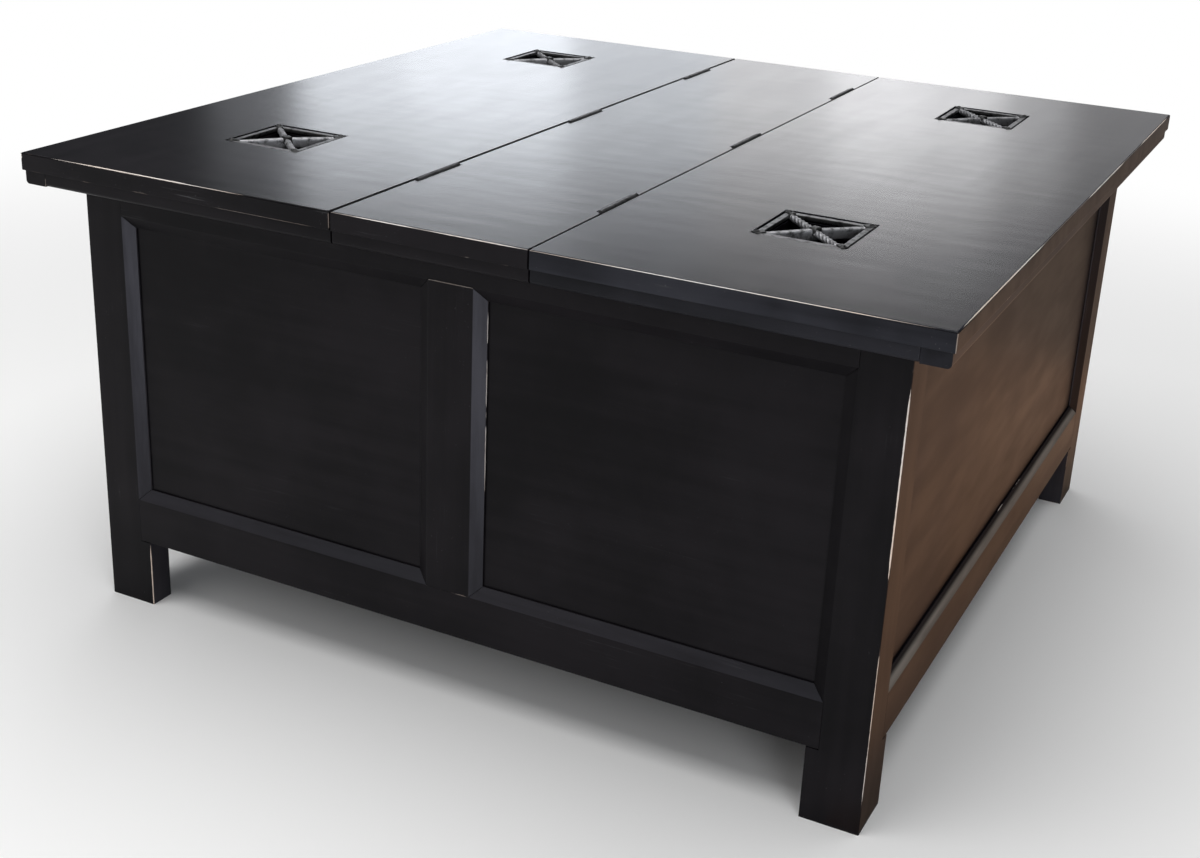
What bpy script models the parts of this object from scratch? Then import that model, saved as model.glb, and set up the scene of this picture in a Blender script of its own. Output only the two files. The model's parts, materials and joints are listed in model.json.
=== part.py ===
"""Black storage coffee table: a square panelled chest on four L-section legs.

The overhanging top is a fixed centre board between two lids, each hung on three butt hinges. Each lid
carries two square iron grilles. The origin is on the floor under the middle of the table, +Z is up,
and the face with two panels looks towards -Y.
"""

import math

import bmesh
import bpy
from mathutils import Matrix, Vector

# Overall sizes, in metres.
TOP_WIDTH = 0.950
TOP_DEPTH = 0.950
HEIGHT = 0.500
OVERHANG = 0.042

# The top: boards thickened along their outer edges by lippings glued underneath.
BOARD = 0.018
CENTRE_WIDTH = 0.2052
SEAM = 0.0016
LIPPING_WIDTH = 0.028
LIPPING_HEIGHT = 0.0135
LIPPING_INSET = 0.0025
LIPPING_ROUND = 0.004
TOP_ARRIS = 0.0016

# The frame: legs, rails and mullions share one thickness and one chamfer towards the panels.
FRAME = 0.028
LEG_WIDTH = 0.057
FOOT_HEIGHT = 0.075
BOTTOM_RAIL = 0.061
TOP_RAIL = 0.0545
MULLION = 0.072
CHAMFER_WIDTH = 0.012
CHAMFER_DEPTH = 0.007
FRAME_ARRIS = 0.0012
TENON_LENGTH = 0.015
TENON_THICK = 0.009
TENON_SHOULDER = 0.008

# Panels and the chest floor, held in grooves.
PANEL = 0.009
PANEL_SETBACK = 0.009
GROOVE = 0.008
FLOOR = 0.009
FLOOR_ABOVE_RAIL = 0.016

# Bearers under the two seams.
BEARER_WIDTH = 0.024
BEARER_HEIGHT = 0.042
BEARER_UNDER_LID = 0.009

# Butt hinges let into the centre board's edges.
HINGE_LENGTH = 0.076
HINGE_FROM_FRONT = 0.179
HINGE_FROM_BACK = 0.140
KNUCKLES = 5
BARREL_RADIUS = 0.0035
BARREL_DROP = 0.001
PIN_RADIUS = 0.0017
PIN_CLEARANCE = 0.00008
LEAF = 0.0014
LEAF_DEPTH = 0.0165
BARREL_SIDES = 16

# Iron grilles in the lids.
GRILLE = 0.090
GRILLE_BAR = 0.0075
GRILLE_THICK = 0.004
GRILLE_RECESS = 0.0022
GRILLE_FROM_FRONT = 0.206
GRILLE_FROM_BACK = 0.167
GRILLE_FROM_LEFT = 0.171
GRILLE_FROM_RIGHT = 0.190
GRILLE_ARRIS = 0.0006
CROSS_WIDTH = 0.005
CROSS_DEPTH = 0.009
CROSS_ROUND = 0.0017
BOSS = 0.0085
BOSS_PROUD = 0.0008
BOSS_ROUND = 0.0016
ARC_STEPS = 6

# Clearance between pieces that touch, and how far a cutter runs past what it cuts.
GAP = 0.0003
OVERRUN = 0.010

# Places that follow from the sizes.
FACE_X = TOP_WIDTH / 2 - OVERHANG
FACE_Y = TOP_DEPTH / 2 - OVERHANG
BOARD_UNDER = HEIGHT - BOARD
FRAME_TOP = BOARD_UNDER - GAP
RAIL_SHOULDER = LEG_WIDTH - CHAMFER_WIDTH
BOTTOM_RAIL_TOP = FOOT_HEIGHT + BOTTOM_RAIL
TOP_RAIL_UNDER = FRAME_TOP - TOP_RAIL
FLOOR_Z = FOOT_HEIGHT + FLOOR_ABOVE_RAIL
SEAM_X = CENTRE_WIDTH / 2
PIVOT_X = SEAM_X + SEAM / 2 - GAP - BARREL_RADIUS
PIVOT_Z = HEIGHT - BARREL_DROP
EDGE_X = TOP_WIDTH / 2
EDGE_Y = TOP_DEPTH / 2
HINGE_FRONT_Y = HINGE_FROM_FRONT - EDGE_Y
HINGE_BACK_Y = EDGE_Y - HINGE_FROM_BACK
HINGE_Y = [HINGE_FRONT_Y, (HINGE_FRONT_Y + HINGE_BACK_Y) / 2, HINGE_BACK_Y]
GRILLE_X = {"left": GRILLE_FROM_LEFT - EDGE_X, "right": EDGE_X - GRILLE_FROM_RIGHT}
GRILLE_Y = {"front": GRILLE_FROM_FRONT - EDGE_Y, "back": EDGE_Y - GRILLE_FROM_BACK}
GRILLE_OPENING = GRILLE - 2 * GRILLE_BAR
HINGE_PLACES = ("front", "middle", "back")

for stale in list(bpy.data.objects):
    bpy.data.objects.remove(stale, do_unlink=True)

table = bpy.data.collections.new("storage_coffee_table")
bpy.context.scene.collection.children.link(table)


def material(name, colour, roughness, metallic):
    """A Principled material with one colour."""
    made = bpy.data.materials.new(name)
    made.use_nodes = True
    shader = made.node_tree.nodes["Principled BSDF"]
    shader.inputs["Base Color"].default_value = (*colour, 1.0)
    shader.inputs["Roughness"].default_value = roughness
    shader.inputs["Metallic"].default_value = metallic
    return made


BLACK_PAINT = material("black_paint", (0.013, 0.013, 0.014), 0.38, 0.0)
BLACK_STAIN = material("black_stain", (0.020, 0.019, 0.018), 0.70, 0.0)
FORGED_IRON = material("forged_iron", (0.070, 0.070, 0.074), 0.50, 0.85)
HINGE_STEEL = material("hinge_steel", (0.085, 0.085, 0.090), 0.42, 0.90)


def pivot(name, place, turn=0.0):
    """An empty that carries pieces at a place, turned about the upright axis."""
    carrier = bpy.data.objects.new(name, None)
    carrier.location = place
    carrier.rotation_euler = (0.0, 0.0, turn)
    table.objects.link(carrier)
    return carrier


def part(name, mesh, finish, parent=None):
    """A named piece with its finish, carried by an empty."""
    piece = bpy.data.objects.new(name, mesh)
    piece.parent = parent
    if not mesh.materials:
        mesh.materials.append(finish)
    table.objects.link(piece)
    return piece


def box(low, high):
    """A block between two corners."""
    low = Vector(low)
    high = Vector(high)
    block = bmesh.new()
    size = Matrix.Diagonal((*(high - low), 1.0))
    bmesh.ops.create_cube(block, size=1.0, matrix=Matrix.Translation((low + high) / 2) @ size)
    return finished(block)


def finished(work):
    """Turns a bmesh into a mesh whose faces point outwards."""
    bmesh.ops.recalc_face_normals(work, faces=work.faces)
    mesh = bpy.data.meshes.new("piece")
    work.to_mesh(mesh)
    work.free()
    return mesh


def cylinder_y(radius, length, sides):
    """A rod along Y, centred on the origin, with a flat side facing +X."""
    rod = bmesh.new()
    turn = Matrix.Rotation(math.radians(90), 4, "X") @ Matrix.Rotation(math.pi / sides, 4, "Z")
    bmesh.ops.create_cone(
        rod, cap_ends=True, segments=sides, radius1=radius, radius2=radius, depth=length, matrix=turn
    )
    return finished(rod)


def outline(points, thickness):
    """A flat outline in X and Y, made solid by thickness upwards from Z = 0."""
    shape = bpy.data.curves.new("outline", "CURVE")
    shape.dimensions = "2D"
    shape.fill_mode = "BOTH"
    shape.extrude = thickness / 2
    spline = shape.splines.new("POLY")
    spline.points.add(len(points) - 1)
    for target, (x, y) in zip(spline.points, points):
        target.co = (x, y, 0.0, 1.0)
    spline.use_cyclic_u = True
    guide = bpy.data.objects.new("outline", shape)
    bpy.context.scene.collection.objects.link(guide)
    mesh = evaluated(guide)
    work = bmesh.new()
    work.from_mesh(mesh)
    bmesh.ops.remove_doubles(work, verts=work.verts, dist=1e-6)
    bmesh.ops.translate(work, verts=work.verts, vec=(0.0, 0.0, thickness / 2))
    bpy.data.objects.remove(guide, do_unlink=True)
    return finished(work)


def evaluated(piece):
    """The mesh of an object with its modifiers applied."""
    bpy.context.view_layer.update()
    graph = bpy.context.evaluated_depsgraph_get()
    return bpy.data.meshes.new_from_object(piece.evaluated_get(graph))


def moved(mesh, *steps):
    """The mesh after the matrices, first one first."""
    for step in steps:
        mesh.transform(step)
    return mesh


def shift(x, y, z):
    return Matrix.Translation((x, y, z))


STAND_UP = Matrix.Rotation(math.radians(90), 4, "X") @ Matrix.Scale(-1.0, 4, (0.0, 0.0, 1.0))


def upright(points, depth):
    """An outline drawn as seen from outside (X across, Z up), made solid inwards along +Y."""
    mesh = moved(outline(points, depth), STAND_UP)
    mesh.flip_normals()
    return mesh


def combined(mesh, others, operation):
    """The mesh joined with, or cut by, other meshes."""
    scene = bpy.context.scene.collection
    base = bpy.data.objects.new("base", mesh)
    scene.objects.link(base)
    tools = []
    for other in others:
        tool = bpy.data.objects.new("tool", other)
        scene.objects.link(tool)
        step = base.modifiers.new(operation, "BOOLEAN")
        step.operation = operation
        step.solver = "EXACT"
        step.object = tool
        tools.append(tool)
    result = evaluated(base)
    for used in [base, *tools]:
        bpy.data.objects.remove(used, do_unlink=True)
    return result


def cut(mesh, cutters):
    return combined(mesh, cutters, "DIFFERENCE")


def joined(mesh, others):
    return combined(mesh, others, "UNION")


def eased(mesh, width, chosen, segments=2):
    """Rounds the edges that the test chooses by the places of their two ends."""
    work = bmesh.new()
    work.from_mesh(mesh)
    edges = [edge for edge in work.edges if chosen(edge.verts[0].co, edge.verts[1].co)]
    bmesh.ops.bevel(
        work, geom=edges, offset=width, offset_type="OFFSET", segments=segments, profile=0.5,
        affect="EDGES", clamp_overlap=True,
    )
    return finished(work)


def both(value):
    """A test for edges whose two ends lie on a plane: value is (axis, place)."""
    axis, place = value
    return lambda a, b: abs(a[axis] - place) < 1e-6 and abs(b[axis] - place) < 1e-6


def chamfer_tool(length, depth_axis_place):
    """A wedge along X whose sloping face cuts the frame's chamfer.

    The slope starts on the outer face (Y = 0) one chamfer width below the edge at depth_axis_place and
    reaches the edge at the chamfer's depth.
    """
    reach = OVERRUN / CHAMFER_WIDTH
    across = CHAMFER_DEPTH * reach
    edge = depth_axis_place
    section = [
        (-across, edge - CHAMFER_WIDTH - OVERRUN),
        (CHAMFER_DEPTH + across, edge + OVERRUN),
        (-across, edge + OVERRUN),
    ]
    wedge = outline(section, length)
    to_section = Matrix(((0, 0, 1, 0), (1, 0, 0, 0), (0, 1, 0, 0), (0, 0, 0, 1)))
    return moved(wedge, to_section, shift(-length / 2, 0.0, 0.0))


TURN_OVER = Matrix.Rotation(math.radians(180), 4, "Y")
ON_END = Matrix.Rotation(math.radians(-90), 4, "Y")


# Legs: an L-section post, notched for the rails, chamfered and grooved between them.
def arm_cutters():
    """What is cut from the arm along X: two rail notches, the chamfer, the groove and two mortises."""
    low, high = BOTTOM_RAIL_TOP, TOP_RAIL_UNDER
    bottom_notch = [
        (RAIL_SHOULDER - GAP, FOOT_HEIGHT - GAP),
        (LEG_WIDTH + OVERRUN, FOOT_HEIGHT - GAP),
        (LEG_WIDTH + OVERRUN, low + OVERRUN + GAP),
        (RAIL_SHOULDER - GAP, low - CHAMFER_WIDTH),
    ]
    top_notch = [
        (RAIL_SHOULDER - GAP, high + CHAMFER_WIDTH),
        (LEG_WIDTH + OVERRUN, high - OVERRUN - GAP),
        (LEG_WIDTH + OVERRUN, FRAME_TOP + OVERRUN),
        (RAIL_SHOULDER - GAP, FRAME_TOP + OVERRUN),
    ]
    depth = FRAME + 2 * OVERRUN
    notches = [moved(upright(points, depth), shift(0.0, -OVERRUN, 0.0)) for points in (bottom_notch, top_notch)]
    length = high - low + 2 * CHAMFER_WIDTH + 2 * OVERRUN
    middle = shift(0.0, 0.0, (low + high) / 2)
    chamfer = moved(chamfer_tool(length, LEG_WIDTH), TURN_OVER, ON_END, middle)
    groove = box(
        (LEG_WIDTH - GROOVE, PANEL_SETBACK - GAP, low - CHAMFER_WIDTH),
        (LEG_WIDTH + OVERRUN, PANEL_SETBACK + PANEL + GAP, high + CHAMFER_WIDTH),
    )
    mortises = []
    for bottom, top in tenon_spans():
        mortises.append(
            box(
                (RAIL_SHOULDER - TENON_LENGTH - 2 * GAP, (FRAME - TENON_THICK) / 2 - GAP, bottom - GAP),
                (LEG_WIDTH + OVERRUN, (FRAME + TENON_THICK) / 2 + GAP, top + GAP),
            )
        )
    return notches + [chamfer, groove] + mortises


def tenon_spans():
    """The heights between which the bottom and the top rail's tenons run."""
    return [
        (FOOT_HEIGHT + TENON_SHOULDER, BOTTOM_RAIL_TOP - CHAMFER_WIDTH - TENON_SHOULDER),
        (TOP_RAIL_UNDER + CHAMFER_WIDTH + TENON_SHOULDER, FRAME_TOP - TENON_SHOULDER),
    ]


def leg_mesh():
    """The post with its outer corner at the origin and its arms along +X and +Y."""
    plan = [
        (0.0, 0.0), (LEG_WIDTH, 0.0), (LEG_WIDTH, FRAME), (FRAME, FRAME), (FRAME, LEG_WIDTH), (0.0, LEG_WIDTH),
    ]
    blank = outline(plan, FRAME_TOP)
    blank = eased(blank, FRAME_ARRIS, lambda a, b: a.xy.length < 1e-6 and b.xy.length < 1e-6)
    swap = Matrix(((0, 1, 0, 0), (1, 0, 0, 0), (0, 0, 1, 0), (0, 0, 0, 1)))
    cutters = arm_cutters()
    for cutter in arm_cutters():
        mirrored = moved(cutter, swap)
        mirrored.flip_normals()
        cutters.append(mirrored)
    return cut(blank, cutters)


CORNERS = {
    "front_left": (-FACE_X, -FACE_Y),
    "front_right": (FACE_X, -FACE_Y),
    "back_right": (FACE_X, FACE_Y),
    "back_left": (-FACE_X, FACE_Y),
}
leg = leg_mesh()
for turns, (corner, (x, y)) in enumerate(CORNERS.items()):
    post = part(f"{corner}_leg", leg, BLACK_PAINT)
    post.location = (x, y, 0.0)
    post.rotation_euler = (0.0, 0.0, math.radians(90) * turns)


# Rails: between the legs, with mitred chamfers at their ends and round the mullion.
def rail_mesh(span, with_mullion, at_top):
    """A rail on the face whose middle is the origin; span is half the face's length."""
    shoulder = span - RAIL_SHOULDER
    edge = TOP_RAIL_UNDER if at_top else BOTTOM_RAIL_TOP
    back = FRAME_TOP if at_top else FOOT_HEIGHT
    into = 1.0 if at_top else -1.0
    step = edge + into * (CHAMFER_WIDTH + GAP)
    mitre = shoulder - CHAMFER_WIDTH - GAP
    inner = [(mitre, edge)]
    if with_mullion:
        half = MULLION / 2 + GAP
        flat = half - CHAMFER_WIDTH - 2 * GAP
        seat = step + into * GAP
        inner += [(half, edge), (flat, seat), (-flat, seat), (-half, edge)]
    inner += [(-mitre, edge)]
    points = [(shoulder, back), (shoulder, step), *inner, (-shoulder, step), (-shoulder, back)]
    rail = upright(points, FRAME)
    rail = eased(rail, FRAME_ARRIS, lambda a, b: both((2, back))(a, b) and both((1, 0.0))(a, b))
    wedge = chamfer_tool(2 * span, 0.0)
    if at_top:
        wedge = moved(wedge, Matrix.Scale(-1.0, 4, (0.0, 0.0, 1.0)))
        wedge.flip_normals()
    wedge = moved(wedge, shift(0.0, 0.0, edge))
    groove_floor = edge + into * GROOVE
    groove = box(
        (-span, PANEL_SETBACK - GAP, min(groove_floor, edge - into * OVERRUN)),
        (span, PANEL_SETBACK + PANEL + GAP, max(groove_floor, edge - into * OVERRUN)),
    )
    cutters = [wedge, groove]
    if not at_top:
        cutters.append(
            box(
                (-span, FRAME - GROOVE, FLOOR_Z - GAP),
                (span, FRAME + OVERRUN, FLOOR_Z + FLOOR + GAP),
            )
        )
    bottom, top = tenon_spans()[1 if at_top else 0]
    tenons = []
    for side in (-1, 1):
        ends = sorted((side * (shoulder - OVERRUN), side * (shoulder + TENON_LENGTH)))
        tenons.append(
            box(
                (ends[0], (FRAME - TENON_THICK) / 2, bottom),
                (ends[1], (FRAME + TENON_THICK) / 2, top),
            )
        )
    return joined(cut(rail, cutters), tenons)


def mullion_mesh():
    """The upright between the two panels of a face, scribed over the rails' chamfers."""
    half = MULLION / 2
    low, high = BOTTOM_RAIL_TOP, TOP_RAIL_UNDER
    flat = half - CHAMFER_WIDTH - 2 * GAP
    right = [
        (flat, low - CHAMFER_WIDTH - GAP),
        (half, low + GAP),
        (half, high - GAP),
        (flat, high + CHAMFER_WIDTH + GAP),
    ]
    points = right + [(-x, z) for x, z in reversed(right)]
    blank = upright(points, FRAME)
    length = high - low + 2 * CHAMFER_WIDTH + 2 * OVERRUN
    middle = shift(0.0, 0.0, (low + high) / 2)
    cutters = [moved(chamfer_tool(length, half), TURN_OVER, ON_END, middle)]
    mirrored = moved(
        chamfer_tool(length, half), TURN_OVER, ON_END, middle, Matrix.Scale(-1.0, 4, (1.0, 0.0, 0.0))
    )
    mirrored.flip_normals()
    cutters.append(mirrored)
    for side in (-1, 1):
        ends = sorted((side * (half - GROOVE), side * (half + OVERRUN)))
        cutters.append(
            box(
                (ends[0], PANEL_SETBACK - GAP, low - 2 * CHAMFER_WIDTH),
                (ends[1], PANEL_SETBACK + PANEL + GAP, high + 2 * CHAMFER_WIDTH),
            )
        )
    return cut(blank, cutters)


def panel_mesh(left, right):
    """A flat panel whose edges run into the grooves round the opening from left to right."""
    tongue = GROOVE - GAP
    return box(
        (left - tongue, PANEL_SETBACK, BOTTOM_RAIL_TOP - tongue),
        (right + tongue, PANEL_SETBACK + PANEL, TOP_RAIL_UNDER + tongue),
    )


FACES = {
    "front": ((0.0, -FACE_Y, 0.0), FACE_X),
    "right": ((FACE_X, 0.0, 0.0), FACE_Y),
    "back": ((0.0, FACE_Y, 0.0), FACE_X),
    "left": ((-FACE_X, 0.0, 0.0), FACE_Y),
}
for turns, (face, (place, span)) in enumerate(FACES.items()):
    carrier = pivot(f"{face}_face", place, math.radians(90) * turns)
    two_panels = face in ("front", "back")
    part(f"{face}_bottom_rail", rail_mesh(span, two_panels, False), BLACK_PAINT, carrier)
    part(f"{face}_top_rail", rail_mesh(span, two_panels, True), BLACK_PAINT, carrier)
    jamb = span - LEG_WIDTH
    if two_panels:
        part(f"{face}_mullion", mullion_mesh(), BLACK_PAINT, carrier)
        part(f"{face}_panel_a", panel_mesh(-jamb, -MULLION / 2), BLACK_PAINT, carrier)
        part(f"{face}_panel_b", panel_mesh(MULLION / 2, jamb), BLACK_PAINT, carrier)
    else:
        part(f"{face}_panel", panel_mesh(-jamb, jamb), BLACK_PAINT, carrier)


# The chest floor: a sheet with a tongue along each side in the bottom rails' grooves.
def floor_mesh():
    inside_x = FACE_X - FRAME - GAP
    inside_y = FACE_Y - FRAME - GAP
    tongue = GROOVE - GAP
    ends_x = FACE_X - RAIL_SHOULDER - GAP
    ends_y = FACE_Y - RAIL_SHOULDER - GAP
    quarter = [
        (inside_x + tongue, ends_y),
        (inside_x, ends_y),
        (inside_x, inside_y),
        (ends_x, inside_y),
        (ends_x, inside_y + tongue),
    ]
    points = list(quarter)
    points += [(-x, y) for x, y in reversed(quarter)]
    points += [(-x, -y) for x, y in quarter]
    points += [(x, -y) for x, y in reversed(quarter)]
    return outline(points, FLOOR)


part("chest_floor", floor_mesh(), BLACK_STAIN, pivot("floor_level", (0.0, 0.0, FLOOR_Z)))


# Bearers: run from the front to the back top rail under each seam.
def bearer_mesh(side):
    ends = sorted((side * (SEAM_X + BEARER_UNDER_LID), side * (SEAM_X + BEARER_UNDER_LID - BEARER_WIDTH)))
    reach = FACE_Y - FRAME - GAP
    return box((ends[0], -reach, -BEARER_HEIGHT), (ends[1], reach, 0.0))


frame_top = pivot("frame_top", (0.0, 0.0, FRAME_TOP))
SIDES = {"left": -1, "right": 1}
for name, side in SIDES.items():
    part(f"{name}_bearer", bearer_mesh(side), BLACK_STAIN, frame_top)


# The top: boards and the lippings under their outer edges.
def lipping_mesh(length):
    """A strip along X with its outer side on -Y, square on top and rounded at its lower outer edge."""
    corner = [(-LIPPING_ROUND * math.sin(turn), -LIPPING_ROUND * math.cos(turn)) for turn in arc_angles()]
    section = [(LIPPING_WIDTH - LIPPING_INSET, 0.0), (0.0, 0.0)]
    section += [(LIPPING_ROUND + x, LIPPING_ROUND - LIPPING_HEIGHT + y) for x, y in reversed(corner)]
    section += [(LIPPING_WIDTH - LIPPING_INSET, -LIPPING_HEIGHT)]
    to_section = Matrix(((0, 0, 1, 0), (1, 0, 0, 0), (0, 1, 0, 0), (0, 0, 0, 1)))
    return moved(outline(section, length), to_section, shift(-length / 2, 0.0, 0.0))


def arc_angles():
    """Angles of a quarter turn, from 0 to 90 degrees."""
    return [math.radians(90) * step / ARC_STEPS for step in range(ARC_STEPS + 1)]


def board_mesh(low_x, high_x, holes=(), notches=()):
    """A top board, its arrises softened, with the holes and notches cut through it."""
    half = TOP_DEPTH / 2
    board = box((low_x, -half, BOARD_UNDER), (high_x, half, HEIGHT))
    board = eased(board, TOP_ARRIS, both((2, HEIGHT)))
    return cut(board, [*holes, *notches]) if holes or notches else board


def hinge_notches():
    """Room for the barrel and both leaves, through the centre board at its two edges."""
    blocks = []
    for side in SIDES.values():
        ends = sorted((side * (PIVOT_X - BARREL_RADIUS - GAP), side * (SEAM_X + OVERRUN)))
        for middle in HINGE_Y:
            blocks.append(
                box(
                    (ends[0], middle - HINGE_LENGTH / 2 - GAP, BOARD_UNDER - OVERRUN),
                    (ends[1], middle + HINGE_LENGTH / 2 + GAP, HEIGHT + OVERRUN),
                )
            )
    return blocks


def grille_hole(x, y):
    """A through hole and the rebate that the grille's frame lies in."""
    through = GRILLE_OPENING / 2 + GAP
    rebate = GRILLE / 2 + GAP
    seat = HEIGHT - GRILLE_RECESS - GRILLE_THICK - GAP
    return [
        box((x - through, y - through, BOARD_UNDER - OVERRUN), (x + through, y + through, HEIGHT + OVERRUN)),
        box((x - rebate, y - rebate, seat), (x + rebate, y + rebate, HEIGHT + OVERRUN)),
    ]


LID_X = SEAM_X + SEAM / 2
CENTRE_X = SEAM_X - SEAM / 2
ENDS = {"front": -1, "back": 1}


def end_lipping(name, end, middle_x, length, carrier):
    """A lipping under the front or back edge, with its middle at middle_x."""
    side = ENDS[end]
    place = (middle_x, side * (EDGE_Y - LIPPING_INSET), FRAME_TOP)
    strip = moved(
        lipping_mesh(length),
        Matrix.Rotation(math.radians(90) * (1 + side), 4, "Z"),
        shift(*place),
        carrier.matrix_basis.inverted(),
    )
    part(name, strip, BLACK_PAINT, carrier)


top_fixed = pivot("centre_top", (0.0, 0.0, HEIGHT))
centre = board_mesh(-CENTRE_X, CENTRE_X, notches=hinge_notches())
part("centre_board", moved(centre, shift(0.0, 0.0, -HEIGHT)), BLACK_PAINT, top_fixed)
for end in ENDS:
    end_lipping(f"centre_{end}_lipping", end, 0.0, 2 * CENTRE_X, top_fixed)


# Grilles: a flat square frame and a cross of two bars on edge that meet in a boss.
def grille_frame_mesh():
    """The square frame, its top at Z = 0."""
    half = GRILLE / 2
    inner = GRILLE_OPENING / 2
    ring = cut(
        box((-half, -half, -GRILLE_THICK), (half, half, 0.0)),
        [box((-inner, -inner, -GRILLE_THICK - OVERRUN), (inner, inner, OVERRUN))],
    )
    return eased(ring, GRILLE_ARRIS, both((2, 0.0)), segments=1)


def cross_mesh():
    """Two crossing bars with rounded tops whose pointed ends lie in the frame's corners."""
    crotch = CROSS_WIDTH / math.sqrt(2)
    tip = GRILLE_OPENING / 2 - GAP
    points = []
    for turns in range(4):
        turn = Matrix.Rotation(math.radians(90) * turns, 2)
        quarter = [(crotch, 0.0), (tip, tip - crotch), (tip, tip), (tip - crotch, tip)]
        points += [turn @ Vector(point) for point in quarter]
    bars = moved(outline(points, CROSS_DEPTH), shift(0.0, 0.0, -CROSS_DEPTH))
    bars = eased(bars, CROSS_ROUND, both((2, 0.0)))
    half = BOSS / 2
    boss = box((-half, -half, -CROSS_DEPTH - BOSS_PROUD), (half, half, BOSS_PROUD))
    boss = eased(boss, BOSS_ROUND, lambda a, b: True)
    return joined(bars, [boss])


# Hinges: combs of a plate and bored knuckles on a pin; local +X looks towards the lid.
def knuckle_spans(moving):
    """Where along the hinge the knuckles of one leaf lie."""
    pitch = HINGE_LENGTH / KNUCKLES
    first = 1 if moving else 0
    return [
        (index * pitch - HINGE_LENGTH / 2 + GAP / 2, (index + 1) * pitch - HINGE_LENGTH / 2 - GAP / 2)
        for index in range(first, KNUCKLES, 2)
    ]


def leaf_mesh(moving):
    """A leaf hanging from the barrel: on the lid's side if it moves, else on the centre board's."""
    neck = -BARREL_RADIUS - GAP
    half = HINGE_LENGTH / 2 - GAP / 2
    edge = [(-half, -LEAF_DEPTH), (half, -LEAF_DEPTH), (half, neck)]
    for start, stop in reversed(knuckle_spans(moving)):
        edge += [(stop, neck), (stop, 0.0), (start, 0.0), (start, neck)]
    edge += [(-half, neck)]
    comb = [point for index, point in enumerate(edge) if point != edge[index - 1]]
    to_side = Matrix(((0, 0, 1, 0), (1, 0, 0, 0), (0, 1, 0, 0), (0, 0, 0, 1)))
    outer = BARREL_RADIUS - GAP / 2
    offset = outer - LEAF if moving else -outer
    plate = moved(outline(comb, LEAF), to_side, shift(offset, 0.0, 0.0))
    barrels = [
        moved(cylinder_y(BARREL_RADIUS, stop - start, BARREL_SIDES), shift(0.0, (start + stop) / 2, 0.0))
        for start, stop in knuckle_spans(moving)
    ]
    bore = cylinder_y(PIN_RADIUS + PIN_CLEARANCE, 2 * HINGE_LENGTH, BARREL_SIDES)
    return cut(joined(plate, barrels), [bore])


frame_of_grille = grille_frame_mesh()
cross_of_grille = cross_mesh()
leaf_fixed = leaf_mesh(False)
leaf_moving = leaf_mesh(True)
pin = cylinder_y(PIN_RADIUS, HINGE_LENGTH, BARREL_SIDES)

for name, side in SIDES.items():
    lid = pivot(f"{name}_lid_pivot", (side * PIVOT_X, 0.0, PIVOT_Z))
    to_lid = lid.matrix_basis.inverted()
    holes = []
    for y in GRILLE_Y.values():
        holes += grille_hole(GRILLE_X[name], y)
    low_x, high_x = sorted((side * LID_X, side * EDGE_X))
    part(f"{name}_lid_board", moved(board_mesh(low_x, high_x, holes), to_lid), BLACK_PAINT, lid)
    side_strip = moved(
        lipping_mesh(2 * (EDGE_Y - LIPPING_INSET)),
        Matrix.Rotation(side * math.radians(90), 4, "Z"),
        shift(side * (EDGE_X - LIPPING_INSET), 0.0, FRAME_TOP),
        to_lid,
    )
    part(f"{name}_lid_side_lipping", side_strip, BLACK_PAINT, lid)
    strip_end = EDGE_X - LIPPING_WIDTH - GAP
    for end in ENDS:
        middle_x = side * (LID_X + strip_end) / 2
        end_lipping(f"{name}_lid_{end}_lipping", end, middle_x, strip_end - LID_X, lid)
    for end, y in GRILLE_Y.items():
        seat = Vector((GRILLE_X[name], y, HEIGHT - GRILLE_RECESS)) - lid.location
        for kind, mesh in (("frame", frame_of_grille), ("cross", cross_of_grille)):
            piece = part(f"{name}_{end}_grille_{kind}", mesh, FORGED_IRON, lid)
            piece.location = seat
    for place, y in zip(HINGE_PLACES, HINGE_Y):
        axis = pivot(f"{name}_{place}_hinge", (side * PIVOT_X, y, PIVOT_Z), math.radians(90) * (1 - side))
        part(f"{name}_{place}_hinge_fixed_leaf", leaf_fixed, HINGE_STEEL, axis)
        part(f"{name}_{place}_hinge_pin", pin, HINGE_STEEL, axis)
        swinging = part(f"{name}_{place}_hinge_lid_leaf", leaf_moving, HINGE_STEEL, lid)
        swinging.location = (0.0, y, 0.0)
        swinging.rotation_euler = axis.rotation_euler

for piece in table.objects:
    if piece.type == "MESH":
        piece.data.set_sharp_from_angle(angle=math.radians(40))
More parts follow.
